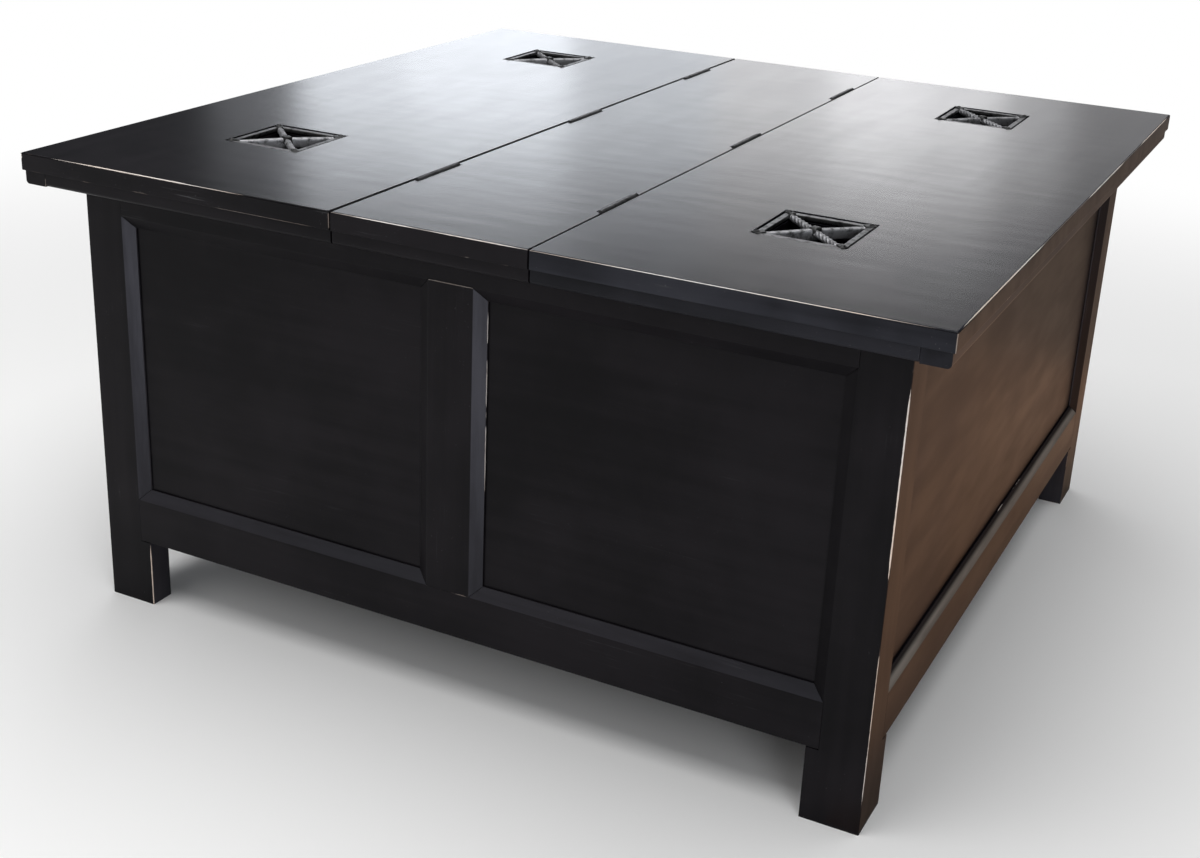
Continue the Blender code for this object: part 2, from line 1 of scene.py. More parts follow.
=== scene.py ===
# %% [markdown]
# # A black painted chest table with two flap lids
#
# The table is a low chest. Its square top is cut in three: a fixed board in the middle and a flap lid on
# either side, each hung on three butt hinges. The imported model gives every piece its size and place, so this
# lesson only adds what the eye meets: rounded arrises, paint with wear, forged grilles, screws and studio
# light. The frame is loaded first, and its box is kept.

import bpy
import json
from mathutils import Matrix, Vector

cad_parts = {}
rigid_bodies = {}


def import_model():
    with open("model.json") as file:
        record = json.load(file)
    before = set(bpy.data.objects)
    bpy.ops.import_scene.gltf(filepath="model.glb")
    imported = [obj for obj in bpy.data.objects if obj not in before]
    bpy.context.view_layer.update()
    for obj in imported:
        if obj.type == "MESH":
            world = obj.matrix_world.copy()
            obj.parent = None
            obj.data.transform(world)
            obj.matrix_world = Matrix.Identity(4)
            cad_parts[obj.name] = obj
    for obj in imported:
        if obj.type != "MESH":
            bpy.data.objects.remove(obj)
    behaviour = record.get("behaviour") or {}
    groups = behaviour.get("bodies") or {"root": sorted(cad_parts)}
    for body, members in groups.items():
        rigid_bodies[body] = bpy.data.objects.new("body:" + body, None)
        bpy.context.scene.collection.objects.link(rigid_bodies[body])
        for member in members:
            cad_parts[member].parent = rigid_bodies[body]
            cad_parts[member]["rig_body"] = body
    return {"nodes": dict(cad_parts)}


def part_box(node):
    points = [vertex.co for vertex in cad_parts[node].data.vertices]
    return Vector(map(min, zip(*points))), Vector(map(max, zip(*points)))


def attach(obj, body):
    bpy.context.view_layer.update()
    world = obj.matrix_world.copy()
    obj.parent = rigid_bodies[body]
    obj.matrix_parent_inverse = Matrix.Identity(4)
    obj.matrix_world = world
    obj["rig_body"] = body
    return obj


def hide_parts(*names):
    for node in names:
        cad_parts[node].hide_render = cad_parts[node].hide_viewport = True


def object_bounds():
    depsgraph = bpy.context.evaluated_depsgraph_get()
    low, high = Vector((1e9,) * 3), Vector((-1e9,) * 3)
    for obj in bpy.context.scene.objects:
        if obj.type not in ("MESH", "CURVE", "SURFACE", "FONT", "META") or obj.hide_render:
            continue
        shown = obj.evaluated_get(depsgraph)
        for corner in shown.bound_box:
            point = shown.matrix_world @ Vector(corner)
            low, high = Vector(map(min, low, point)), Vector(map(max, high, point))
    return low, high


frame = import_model()
CAD_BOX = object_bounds()
NODES = frame["nodes"]

# %% Modules for the lesson
import json
import math

import bmesh
import bpy
from mathutils import Matrix, Vector

# %% [markdown]
# ## Camera
#
# A camera could be placed by eye. Here its place comes from the table's own corners and edges in the picture:
# they fix where it stood, how long its lens was and how far it was tilted to one side. The picture is a crop,
# so a small shift of the lens brings the table back to its place in the frame.

# %% The camera's place
CAMERA_PLACE = (0.7566, -1.6652, 0.9124)
CAMERA_AZIMUTH = math.radians(26.584)
CAMERA_ELEVATION = math.radians(21.322)
CAMERA_ROLL = math.radians(2.423)
CAMERA_LENS = 50.04
CAMERA_SHIFT = (0.013, -0.04)
CAMERA_REACH = 200.0


def aim_camera():
    """Adds the camera: turned about Z, tilted down from the horizon, then rolled about its line of sight."""
    camera = bpy.data.objects.new("camera", bpy.data.cameras.new("camera"))
    turn = Matrix.Rotation(CAMERA_AZIMUTH, 4, "Z")
    tilt = Matrix.Rotation(math.pi / 2 - CAMERA_ELEVATION, 4, "X")
    roll = Matrix.Rotation(CAMERA_ROLL, 4, "Z")
    camera.matrix_world = Matrix.Translation(CAMERA_PLACE) @ turn @ tilt @ roll
    camera.data.lens = CAMERA_LENS
    camera.data.shift_x, camera.data.shift_y = CAMERA_SHIFT
    camera.data.clip_end = CAMERA_REACH
    bpy.context.scene.collection.objects.link(camera)
    bpy.context.scene.camera = camera
    return camera


print("camera stands", round(aim_camera().location.length, 2), "m from the table's foot")

# %% [markdown]
# ## Tools used all through
#
# An operator acts on whatever is selected, so each step starts by putting everything down and taking up one
# piece. Node trees are wired by small helpers: one adds a node with its settings and its inputs, where an
# input is a value or another node's socket, and the others stand for the nodes that are used most. Those find
# the node tree from the sockets that they are given.


# %% Picking up pieces
def put_down():
    """Leaves edit mode and deselects everything."""
    if bpy.context.mode != "OBJECT":
        bpy.ops.object.mode_set(mode="OBJECT")
    bpy.ops.object.select_all(action="DESELECT")


def take_up(piece):
    """Makes one object the only selected one and the active one."""
    put_down()
    piece.select_set(True)
    bpy.context.view_layer.objects.active = piece
    return piece


def edit_all(piece):
    """Goes into edit mode with one object, with all of its mesh selected."""
    take_up(piece)
    bpy.ops.object.mode_set(mode="EDIT")
    bpy.ops.mesh.select_all(action="SELECT")
    return piece


def select_where(piece, kind, wanted):
    """In edit mode, selects the VERT, EDGE or FACE elements for which wanted(element) is true."""
    bpy.ops.mesh.select_mode(type=kind)
    bpy.ops.mesh.select_all(action="DESELECT")
    mesh = bmesh.from_edit_mesh(piece.data)
    mesh.normal_update()
    elements = {"VERT": mesh.verts, "EDGE": mesh.edges, "FACE": mesh.faces}[kind]
    chosen = [element for element in elements if wanted(element)]
    for element in chosen:
        element.select_set(True)
    mesh.select_flush_mode()
    bmesh.update_edit_mesh(piece.data)
    return len(chosen)


# %% Wiring nodes
def add_node(tree, kind, inputs=None, **settings):
    """Adds a shader node. Settings are its options. Inputs are values or sockets, by name or number."""
    node = tree.nodes.new("ShaderNode" + kind)
    for name, value in settings.items():
        setattr(node, name, value)
    for key, value in (inputs or {}).items():
        if isinstance(value, bpy.types.NodeSocket):
            tree.links.new(value, node.inputs[key])
        else:
            node.inputs[key].default_value = value
    return node


def tree_of(values):
    """The node tree to which the sockets among some values belong."""
    return next(value.id_data for value in values if isinstance(value, bpy.types.NodeSocket))


def sum_of(operation, *values):
    """A Math node's result."""
    return add_node(tree_of(values), "Math", dict(enumerate(values)), operation=operation).outputs[0]


def times(first, second):
    """A product."""
    return sum_of("MULTIPLY", first, second)


def larger(sockets):
    """The largest of several masks."""
    result = sockets[0]
    for socket in sockets[1:]:
        result = sum_of("MAXIMUM", result, socket)
    return result


def vector_of(operation, *values):
    """A Vector Math node's result: a number for DOT_PRODUCT and LENGTH, otherwise a vector."""
    node = add_node(tree_of(values), "VectorMath", dict(enumerate(values)), operation=operation)
    return node.outputs["Value" if operation in ("DOT_PRODUCT", "LENGTH") else "Vector"]


def ramp_of(value, low, high, to_low=0.0, to_high=1.0):
    """A soft step: value going from low to high gives to_low going to to_high."""
    inputs = {"Value": value, "From Min": low, "From Max": high, "To Min": to_low, "To Max": to_high}
    return add_node(value.id_data, "MapRange", inputs, interpolation_type="SMOOTHSTEP").outputs["Result"]


def colour_of(factor, first, second):
    """A mix of two colours."""
    return add_node(factor.id_data, "Mix", {0: factor, 6: first, 7: second}, data_type="RGBA").outputs[2]


def noise_of(place, scale, detail=3.0, roughness=0.55):
    """A noise texture's value."""
    inputs = {"Vector": place, "Scale": scale, "Detail": detail, "Roughness": roughness}
    return add_node(place.id_data, "TexNoise", inputs).outputs[0]


def drawn_noise(place, fineness, detail, roughness=0.55):
    """A noise that is drawn out, because it isn't equally fine along each axis."""
    return noise_of(vector_of("MULTIPLY", place, fineness), 1.0, detail, roughness)


def height_of(vector):
    """A vector's Z."""
    return add_node(vector.id_data, "SeparateXYZ", {0: vector}).outputs["Z"]


def bump_of(height, depth, **more):
    """A Bump node's normal, for heights between 0 and 1 and the depth that 1 stands for."""
    inputs = {"Strength": 1.0, "Distance": depth, "Height": height, **more}
    return add_node(height.id_data, "Bump", inputs).outputs[0]


# %% Node groups
def new_group(name, inputs, outputs):
    """An empty shader node group that puts out numbers: (tree, its inputs, a function to link an output)."""
    tree = bpy.data.node_groups.new(name, "ShaderNodeTree")
    for label, kind in inputs.items():
        tree.interface.new_socket(label, in_out="INPUT", socket_type="NodeSocket" + kind)
    for label in outputs:
        tree.interface.new_socket(label, in_out="OUTPUT", socket_type="NodeSocketFloat")
    entry = tree.nodes.new("NodeGroupInput").outputs
    end = tree.nodes.new("NodeGroupOutput").inputs
    return tree, entry, lambda label, socket: tree.links.new(socket, end[label])


def use_group(group, **inputs):
    """Places a node group in a material and returns its outputs."""
    return add_node(tree_of(inputs.values()), "Group", inputs, node_tree=group).outputs


# %% Materials
def new_material(name, constants):
    """A material with constant values on its shader: (material, its tree, object coordinates)."""
    material = bpy.data.materials.new(name)
    material.use_nodes = True
    tree = material.node_tree
    for key, value in constants.items():
        tree.nodes["Principled BSDF"].inputs[key].default_value = value
    return material, tree, add_node(tree, "TexCoord").outputs["Object"]


def wire_shader(tree, sockets):
    """Links sockets to a material's shader, by name."""
    for key, socket in sockets.items():
        tree.links.new(socket, tree.nodes["Principled BSDF"].inputs[key])


# %% [markdown]
# ## Floor and light
#
# Black paint shows mostly what it mirrors, so the light is planned as reflections. A large softbox overhead
# lights everything evenly. The polished top mirrors what stands low behind the table: there, wide softboxes
# give the bright sheen that ends in a soft line towards the left, where the room is dark. The upright faces
# mirror the pale floor. The floor turns to plain white away from the table, and keeps the table's shadow near
# it. The right side mirrors a low warm lamp and a brown card on the floor, which the camera doesn't see.

# %% Lay the floor
FLOOR_SIZE = 60.0
FLOOR_COLOUR = (0.96, 0.955, 0.945, 1.0)
WHITE = (1.0, 1.0, 1.0, 1.0)
SHADOW_REACH = (0.9, 2.3)


def floor_material():
    """A pale matt floor. Away from the table, what looks at it or mirrors it sees plain white."""
    matt = {"Roughness": 1.0, "Specular IOR Level": 0.0, "Base Color": FLOOR_COLOUR}
    material, tree, place = new_material("pale_floor", matt)
    far = ramp_of(vector_of("LENGTH", place), *SHADOW_REACH)
    path = add_node(tree, "LightPath").outputs
    seen = larger([path["Is Camera Ray"], path["Is Glossy Ray"], path["Is Transmission Ray"]])
    near = tree.nodes["Principled BSDF"].outputs[0]
    glow = add_node(tree, "Emission", {"Color": WHITE, "Strength": 1.0}).outputs[0]
    mixed = add_node(tree, "MixShader", {0: times(far, seen), 1: near, 2: glow}).outputs[0]
    tree.links.new(mixed, tree.nodes["Material Output"].inputs["Surface"])
    return material


def new_plane(name, size, height, material):
    """A level plane at that height, with its material."""
    put_down()
    bpy.ops.mesh.primitive_plane_add(size=size, location=(0, 0, height))
    plane = bpy.context.object
    plane.name = name
    plane.data.materials.append(material)
    return plane


floor = new_plane("floor", FLOOR_SIZE, CAD_BOX[0][2], floor_material())
print("floor:", FLOOR_SIZE, "m square")


# %% Hang the softboxes
def softbox(name, place, aim, size, radiance, colour):
    """A soft area lamp of that width and height, turned to a point. Radiance is how bright its face is."""
    lamp = bpy.data.lights.new(name, "AREA")
    lamp.shape = "RECTANGLE"
    lamp.size, lamp.size_y = size
    lamp.energy = radiance * math.pi * size[0] * size[1]
    lamp.color = colour
    holder = bpy.data.objects.new(name, lamp)
    holder.location = place
    holder.rotation_euler = (Vector(aim) - Vector(place)).to_track_quat("-Z", "Y").to_euler()
    holder.visible_camera = False
    bpy.context.scene.collection.objects.link(holder)
    return holder


WINDOW_DISTANCE = 6.0
WINDOW_BANDS = {"low": (0.60, 1.28, 0.60), "high": (1.28, 1.635, 1.02)}
COOL, NEUTRAL = (0.90, 0.94, 1.0), (0.98, 0.98, 1.0)
WINDOWS = {
    "far_left": (36.8, 39.7, 0.62, COOL), "left_end": (33.0, 36.8, 4.7, COOL),
    "left": (27.5, 33.0, 5.5, COOL), "middle": (22.5, 27.5, 3.35, COOL),
    "inner": (18.5, 22.5, 3.4, NEUTRAL), "right": (15.5, 18.5, 4.7, NEUTRAL),
    "right_end": (12.8, 15.5, 3.9, NEUTRAL), "far_right": (10.6, 12.8, 2.0, NEUTRAL),
    "corner": (4.0, 10.6, 0.95, NEUTRAL)}
LAMPS = {
    "overhead": ((0.0, -0.2, 3.3), (0.0, -0.1, 0.0), (4.0, 4.0), 2.4, WHITE[:3]),
    "front_fill": ((-1.5, -2.7, 2.0), (0.0, -0.4, 0.3), (3.0, 2.4), 1.1, WHITE[:3]),
    "corner_fill": ((2.2, -2.6, 1.1), (0.43, -0.43, 0.3), (1.2, 1.4), 3.5, (0.93, 0.96, 1.0)),
    "warm_side": ((0.93, 0.25, 0.004), (0.93, 0.25, 1.0), (0.90, 1.3), 0.64, (1.0, 0.46, 0.21))}


def window(name, first, last, low, high, radiance, colour):
    """A low softbox behind the table: between two bearings, in degrees left of +Y from the camera, and
    between two heights."""
    bearing = math.radians((first + last) / 2)
    width = 2 * WINDOW_DISTANCE * math.tan(math.radians(last - first) / 2)
    x = CAMERA_PLACE[0] - WINDOW_DISTANCE * math.sin(bearing)
    y = CAMERA_PLACE[1] + WINDOW_DISTANCE * math.cos(bearing)
    aim = (CAMERA_PLACE[0], CAMERA_PLACE[1], (low + high) / 2)
    return softbox("window_" + name, (x, y, (low + high) / 2), aim, (width, high - low), radiance, colour)


for name, (first, last, radiance, colour) in WINDOWS.items():
    for band, (low, high, share) in WINDOW_BANDS.items():
        window(name + "_" + band, first, last, low, high, radiance * share, colour)
for name, setting in LAMPS.items():
    softbox(name, *setting)

# %% Lay the brown card
CARD_LOW, CARD_HIGH = (0.40, -0.47), (2.00, 3.40)
CARD_LIFT = 0.003
CARD_MOTTLE = 3.0
CARD_COLOUR = (0.97, 0.69, 0.52, 1.0)
CARD_MOTTLED = (0.83, 0.59, 0.44, 1.0)


def card_material():
    """Matt brown board, slightly mottled."""
    material, tree, place = new_material("brown_card", {"Roughness": 1.0})
    mottle = noise_of(place, CARD_MOTTLE)
    wire_shader(tree, {"Base Color": colour_of(mottle, CARD_COLOUR, CARD_MOTTLED)})
    return material


card = new_plane("brown_card", 1.0, CAD_BOX[0][2] + CARD_LIFT, card_material())
for corner in card.data.vertices:
    corner.co.x = CARD_HIGH[0] if corner.co.x > 0 else CARD_LOW[0]
    corner.co.y = CARD_HIGH[1] if corner.co.y > 0 else CARD_LOW[1]
card.visible_camera = False
card.visible_shadow = False
card.visible_diffuse = False
print("card:", CARD_LOW, "to", CARD_HIGH)

# %% Dim the room
ROOM_GREY = (0.065, 0.067, 0.072, 1.0)
world = bpy.data.worlds.new("room")
world.use_nodes = True
world.node_tree.nodes["Background"].inputs["Color"].default_value = ROOM_GREY
bpy.context.scene.world = world
bpy.context.scene.view_settings.view_transform = "Standard"
print("room:", ROOM_GREY[:3])

# %% [markdown]
# ## What the paint is made of
#
# The finish is thin black paint brushed along the boards over reddish wood, then waxed and rubbed. Close by
# it shows faint streaks along the grain, cloudy patches, fine scratches, and pale bare wood along arrises
# that hands and feet meet; some of those pale lines are partly painted highlight. Each effect is a node
# group, so that every board can have it with its own values. Another group paints a sheen on chamfers that
# look one way: a painted highlight.

# %% Brushed film
STREAKS, PORES = (3.0, 70.0, 70.0), (40.0, 600.0, 600.0)
RIPPLES, SAGS = (9.0, 34.0, 34.0), (45.0, 14.0, 14.0)
CLOUDS = 5.5


def brushed_film():
    """Streaks, clouds, ripples, pores and sags of a painted board. Along runs with X on the grain."""
    tree, entry, give = new_group("brushed_film", {"Along": "Vector"}, ["Tone", "Gloss", "Height", "Sag"])
    along = entry["Along"]
    streak = drawn_noise(along, STREAKS, 4.0, 0.6)
    pore = drawn_noise(along, PORES, 2.0)
    ripple = drawn_noise(along, RIPPLES, 2.0)
    cloud = noise_of(along, CLOUDS, 4.0, 0.6)
    tone = sum_of("MULTIPLY_ADD", streak, 0.3, times(cloud, 0.7))
    give("Tone", ramp_of(tone, 0.36, 0.66))
    give("Gloss", sum_of("MULTIPLY_ADD", ripple, 0.4, times(tone, 0.6)))
    height = sum_of("MULTIPLY_ADD", pore, 0.05, times(streak, 0.30))
    give("Height", sum_of("MULTIPLY_ADD", ripple, 0.65, height))
    give("Sag", drawn_noise(along, SAGS, 0.5))
    return tree


# %% Arris wear and painted highlight
LEAST_WIDTH = 1e-6
RUB_RAGGED, RUB_PATCHES = 130.0, 24.0
RUB_FADE, RUB_HOLD = 0.16, 0.12


def rub_off(give, distance, width, wood, paint):
    """Bare wood within a width of an arris, and thin paint around it. Wood and paint are shares of the width:
    where the wood is whole, and where the paint begins to be thin and where it is thinnest."""
    width = sum_of("MAXIMUM", width, LEAST_WIDTH)
    give("Bare", ramp_of(distance, width, times(width, wood)))
    give("Thin", ramp_of(distance, times(width, paint[0]), times(width, paint[1])))


def rubbed_arris():
    """A stretch of arris between two points that is rubbed to bare wood: thin paint, then wood in it. Some
    such stretches stand partly for a painted highlight.
    """
    inputs = {"Place": "Vector", "From": "Vector", "To": "Vector", "Width": "Float", "Gaps": "Float"}
    tree, entry, give = new_group("rubbed_arris", inputs, ["Thin", "Bare"])
    line = vector_of("SUBTRACT", entry["To"], entry["From"])
    reach = vector_of("SUBTRACT", entry["Place"], entry["From"])
    length = vector_of("DOT_PRODUCT", line, line)
    share = sum_of("DIVIDE", vector_of("DOT_PRODUCT", reach, line), length)
    share = add_node(tree, "Clamp", {0: share}).outputs[0]
    nearest = add_node(tree, "VectorMath", {0: line, "Scale": share}, operation="SCALE").outputs["Vector"]
    distance = vector_of("LENGTH", vector_of("SUBTRACT", reach, nearest))
    middle = times(share, sum_of("SUBTRACT", 1.0, share))
    fade = ramp_of(middle, 0.0, RUB_FADE)
    ragged = noise_of(entry["Place"], RUB_RAGGED, 4.0, 0.65)
    patches = noise_of(entry["Place"], RUB_PATCHES, 2.0)
    holding = ramp_of(patches, sum_of("SUBTRACT", entry["Gaps"], RUB_HOLD), entry["Gaps"])
    width = times(entry["Width"], times(fade, holding))
    width = times(width, ramp_of(ragged, 0.30, 0.62, 0.78, 1.0))
    rub_off(give, distance, width, 0.75, (1.6, 0.9))
    return tree


# %% Handled edges
HANDLED_RAGGED, HANDLED_PATCHES, HANDLED_HOLD = 210.0, 17.0, 0.1


def handled_edges():
    """Faint, broken rubbing along all arrises of a board, found from its middle and half its size."""
    inputs = {"Place": "Vector", "Middle": "Vector", "Half": "Vector", "Width": "Float", "Gaps": "Float"}
    tree, entry, give = new_group("handled_edges", inputs, ["Thin", "Bare"])
    offset = vector_of("ABSOLUTE", vector_of("SUBTRACT", entry["Place"], entry["Middle"]))
    inside = add_node(tree, "SeparateXYZ", {0: vector_of("SUBTRACT", entry["Half"], offset)}).outputs
    low = sum_of("MINIMUM", inside[0], inside[1])
    high = sum_of("MAXIMUM", inside[0], inside[1])
    median = sum_of("MAXIMUM", low, sum_of("MINIMUM", high, inside[2]))
    patches = noise_of(entry["Place"], HANDLED_PATCHES, 5.0, 0.7)
    holding = ramp_of(patches, sum_of("SUBTRACT", entry["Gaps"], HANDLED_HOLD), entry["Gaps"])
    ragged = noise_of(entry["Place"], HANDLED_RAGGED, 3.0)
    width = times(entry["Width"], times(holding, ragged))
    rub_off(give, median, width, 0.5, (3.0, 1.0))
    return tree


# %% Scuffs
SCRATCHES = (14.0, 310.0, 310.0)
SCRATCH_LEAN = (0.0, 0.14, 0.3)
SCUFF_PATCHES, SPECKS = 11.0, 420.0


def scuffs():
    """Fine scratches and specks that lighten the paint here and there."""
    tree, entry, give = new_group("scuffs", {"Along": "Vector"}, ["Scuff", "Speck"])
    along = entry["Along"]
    bent = vector_of("ADD", along, vector_of("MULTIPLY", along, SCRATCH_LEAN))
    lines = drawn_noise(bent, SCRATCHES, 3.0, 0.6)
    patches = noise_of(along, SCUFF_PATCHES, 3.0)
    specks = noise_of(along, SPECKS, 1.0)
    give("Scuff", times(ramp_of(lines, 0.60, 0.74), ramp_of(patches, 0.50, 0.66)))
    give("Speck", times(ramp_of(specks, 0.72, 0.80), ramp_of(patches, 0.42, 0.6)))
    return tree


# %% Painted sheen on chamfers
SHEEN_STREAKS = (6.0, 60.0, 60.0)
SHEEN_LOW = 0.5


def wax_bloom():
    """A painted sheen: a paler grey on faces that look one way, such as the chamfer on the right of a post's
    face. It is fainter at the lower of two heights."""
    inputs = {"Place": "Vector", "Along": "Vector", "Facing": "Vector", "Low": "Float", "High": "Float"}
    tree, entry, give = new_group("wax_bloom", inputs, ["Bloom"])
    normal = add_node(tree, "TexCoord").outputs["Normal"]
    turned = ramp_of(vector_of("DOT_PRODUCT", normal, entry["Facing"]), 0.93, 0.99)
    raised = ramp_of(height_of(entry["Place"]), entry["Low"], entry["High"], SHEEN_LOW, 1.0)
    turned = times(turned, raised)
    patches = drawn_noise(entry["Along"], SHEEN_STREAKS, 4.0, 0.65)
    give("Bloom", times(turned, ramp_of(patches, 0.2, 0.7, 0.45, 1.0)))
    return tree


FILM = brushed_film()
ARRIS = rubbed_arris()
EDGES = handled_edges()
SCUFFS = scuffs()
CHAMFER_SHEEN = wax_bloom()
print("paint effects:", [group.name for group in (FILM, ARRIS, EDGES, SCUFFS, CHAMFER_SHEEN)])

# %% [markdown]
# ## Black paint
#
# Every board gets a material of its own, made by one function: the grain follows the board, the streaks start
# elsewhere on each, and the stretches of worn arris, some of them partly painted highlight, lie where they lie
# on this table. Near-black paint needs a very dark base colour, because the gloss on top of it already adds
# light.

# %% Paint colours
PAINT_DEEP = (0.0037, 0.0032, 0.0042, 1.0)
PAINT_CLOUDED = (0.0108, 0.0092, 0.0112, 1.0)
INNER_LIT_DARK = (0.030, 0.028, 0.033, 1.0)
INNER_LIT_PALE = (0.060, 0.057, 0.064, 1.0)
LIT_RIGHT_EDGE_DARK = (0.0070, 0.0072, 0.0094, 1.0)
LIT_RIGHT_EDGE_PALE = (0.0205, 0.0205, 0.0260, 1.0)
LIT_RIGHT_LID_DARK = (0.0100, 0.0104, 0.0140, 1.0)
LIT_RIGHT_LID_PALE = (0.0310, 0.0320, 0.0405, 1.0)
PAINT_SCUFFED = (0.070, 0.070, 0.074, 1.0)
PAINT_THIN = (0.060, 0.046, 0.040, 1.0)
PAINTED_SHEEN = (0.092, 0.092, 0.110, 1.0)
RAIL_PAINTED_SHEEN = (0.200, 0.200, 0.185, 1.0)
WOOD_PALE = (0.95, 0.92, 0.89, 1.0)
WOOD_PINK = (0.90, 0.74, 0.63, 1.0)
HANDLED_WIDTH = 0.0009
HANDLED_GAPS = 0.62
HANDLED_BARE = 0.3
SPECK_SHARE, SCRATCH_SHARE, THIN_SHARE = 0.4, 0.3, 0.7
SCUFF_ROUGH, BARE_ROUGH, BARE_HEIGHT = 0.15, 0.6, -0.6
GLOSS_SPAN = (0.3, 0.7)
START_STEP = (1.0, 0.37, 0.61)
GRAIN_TURN = {"x": (0.0, 0.0, 0.0), "y": (0.0, 0.0, math.pi / 2), "z": (0.0, math.pi / 2, 0.0)}


# %% Mix the paint
def black_paint(name, box, grain, gloss, specular, ripple, arrises=(), bloom=None, start=0.0,
                tones=(PAINT_DEEP, PAINT_CLOUDED), scuffing=1.0, sag=0.0, dirt=None):
    """Black paint for one board: its box, its grain's axis, its roughness from low to high, how much it
    mirrors, how deep its ripples are, its arrises of wear and painted highlight, its painted sheen (which way
    those faces look, two heights, how much, which colour), where its pattern starts, its two tones, how
    scuffed it is, how deep the film sags, and its painted shade (at which height the shade is deepest, at
    which it ends, and the share of gloss left where it is deepest)."""
    material, tree, place = new_material(name, {"Specular IOR Level": specular})
    begin = [start * step for step in START_STEP]
    turned = {"Vector": place, "Location": begin, "Rotation": GRAIN_TURN[grain]}
    along = add_node(tree, "Mapping", turned).outputs[0]
    film = use_group(FILM, Along=along)
    marks = use_group(SCUFFS, Along=along)
    board = {"Middle": (box[0] + box[1]) / 2, "Half": (box[1] - box[0]) / 2}
    rubs = [use_group(EDGES, Place=place, Width=HANDLED_WIDTH, Gaps=HANDLED_GAPS, **board)]
    for first, last, width, gaps, _ in arrises:
        rubs.append(use_group(ARRIS, Place=place, From=first, To=last, Width=width, Gaps=gaps))
    shares = [HANDLED_BARE] + [share for *_, share in arrises]
    thin = larger([rub["Thin"] for rub in rubs])
    bare = larger([times(rub["Bare"], share) for rub, share in zip(rubs, shares)])
    colour = colour_of(film["Tone"], *tones)
    # Painted shade: towards one height the paint mirrors less and looks darker, and the painted sheen fades
    # there too.
    if dirt:
        unshaded = ramp_of(height_of(place), *dirt)
        wire_shader(tree, {"Specular IOR Level": times(unshaded, specular)})
    # Painted sheen: faces that look one way get a paler grey, a painted highlight.
    if bloom:
        facing, (low, high), amount, sheen_colour = bloom
        sheen_mask = use_group(CHAMFER_SHEEN, Place=place, Along=along, Facing=facing, Low=low, High=high)["Bloom"]
        sheen_mask = times(sheen_mask, times(unshaded, amount) if dirt else amount)
        colour = colour_of(sheen_mask, colour, sheen_colour)
    specks = times(marks["Speck"], SPECK_SHARE * scuffing)
    scuffed = sum_of("MULTIPLY_ADD", marks["Scuff"], SCRATCH_SHARE * scuffing, specks)
    colour = colour_of(scuffed, colour, PAINT_SCUFFED)
    colour = colour_of(times(thin, THIN_SHARE), colour, PAINT_THIN)
    colour = colour_of(bare, colour, colour_of(film["Tone"], WOOD_PINK, WOOD_PALE))
    rough = ramp_of(film["Gloss"], *GLOSS_SPAN, *gloss)
    rough = sum_of("MULTIPLY_ADD", scuffed, SCUFF_ROUGH, rough)
    rough = larger([rough, times(bare, BARE_ROUGH)])
    bump = bump_of(sum_of("MULTIPLY_ADD", bare, BARE_HEIGHT, film["Height"]), ripple)
    if sag:
        bump = bump_of(film["Sag"], sag, Normal=bump)
    wire_shader(tree, {"Base Color": colour, "Roughness": rough, "Normal": bump})
    return material


# %% [markdown]
# ## Boards with rounded arrises
#
# A sawn board has sharp arrises, and paint doesn't keep on those: they are sanded round before painting.
# Each board is a copy of its solid. The copy's triangles are merged, flat faces are joined, and only the free
# arrises are bevelled: not those in a joint, which the paint runs over.

# %% Round the arrises of a copy
MERGE = 0.00002
FLAT = math.radians(2)
SHARP = math.radians(25)
SMOOTH = math.radians(40)
SEAM_ROUND = 0.0018
SEAM_CRISP = 0.25
ALONG_AXIS = 0.999


def is_free_arris(edge, axes):
    """A sharp, outward edge that runs along one of the axes given."""
    if len(edge.link_faces) != 2 or not edge.is_convex or edge.calc_face_angle() < SHARP:
        return False
    line = (edge.verts[1].co - edge.verts[0].co).normalized()
    return any(abs(line["xyz".index(axis)]) > ALONG_AXIS for axis in axes)


def add_modifier(piece, kind, **settings):
    """Adds a modifier with its settings and applies it."""
    take_up(piece)
    modifier = piece.modifiers.new(kind.lower(), kind)
    for name, value in settings.items():
        setattr(modifier, name, value)
    bpy.ops.object.modifier_apply(modifier=modifier.name)


def rounded_copy(node, radius, axes, seam=None):
    """A copy of a node with its free arrises along the axes rounded, in place of the node. A seam is where a
    board closely meets the next along X: there the round is drawn in, and the arris is crisp."""
    piece = bpy.data.objects.new("finished_" + node, NODES[node].data.copy())
    bpy.context.scene.collection.objects.link(piece)
    take_up(piece)
    if piece.data.has_custom_normals:
        bpy.ops.mesh.customdata_custom_splitnormals_clear()
    edit_all(piece)
    bpy.ops.mesh.remove_doubles(threshold=MERGE)
    bpy.ops.mesh.dissolve_limited(angle_limit=FLAT)
    if select_where(piece, "EDGE", lambda edge: is_free_arris(edge, axes)):
        bpy.ops.mesh.bevel(offset=radius, segments=2, affect="EDGES", clamp_overlap=True)
    if seam:
        select_where(piece, "VERT", lambda v: abs(v.co.x - seam) < SEAM_ROUND)
        bpy.ops.transform.resize(value=(SEAM_CRISP, 1.0, 1.0), center_override=(seam, 0.0, 0.0))
    take_up(piece)
    bpy.ops.object.shade_smooth_by_angle(angle=SMOOTH)
    add_modifier(piece, "WEIGHTED_NORMAL", keep_sharp=True)
    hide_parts(node)
    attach(piece, NODES[node]["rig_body"])
    return piece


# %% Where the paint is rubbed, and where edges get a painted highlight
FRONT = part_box("left_lid_board")[0][1]
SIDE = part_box("right_lid_board")[1][0]
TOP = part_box("centre_board")[1][2]
LEG_LOW, LEG_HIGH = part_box("front_right_leg")
LEFT_LEG_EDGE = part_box("front_left_leg")[1][0]
LID_EDGE, BOARD_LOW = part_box("left_lid_board")[1][0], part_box("left_lid_board")[0][2]
MULLION_EDGE = 0.036
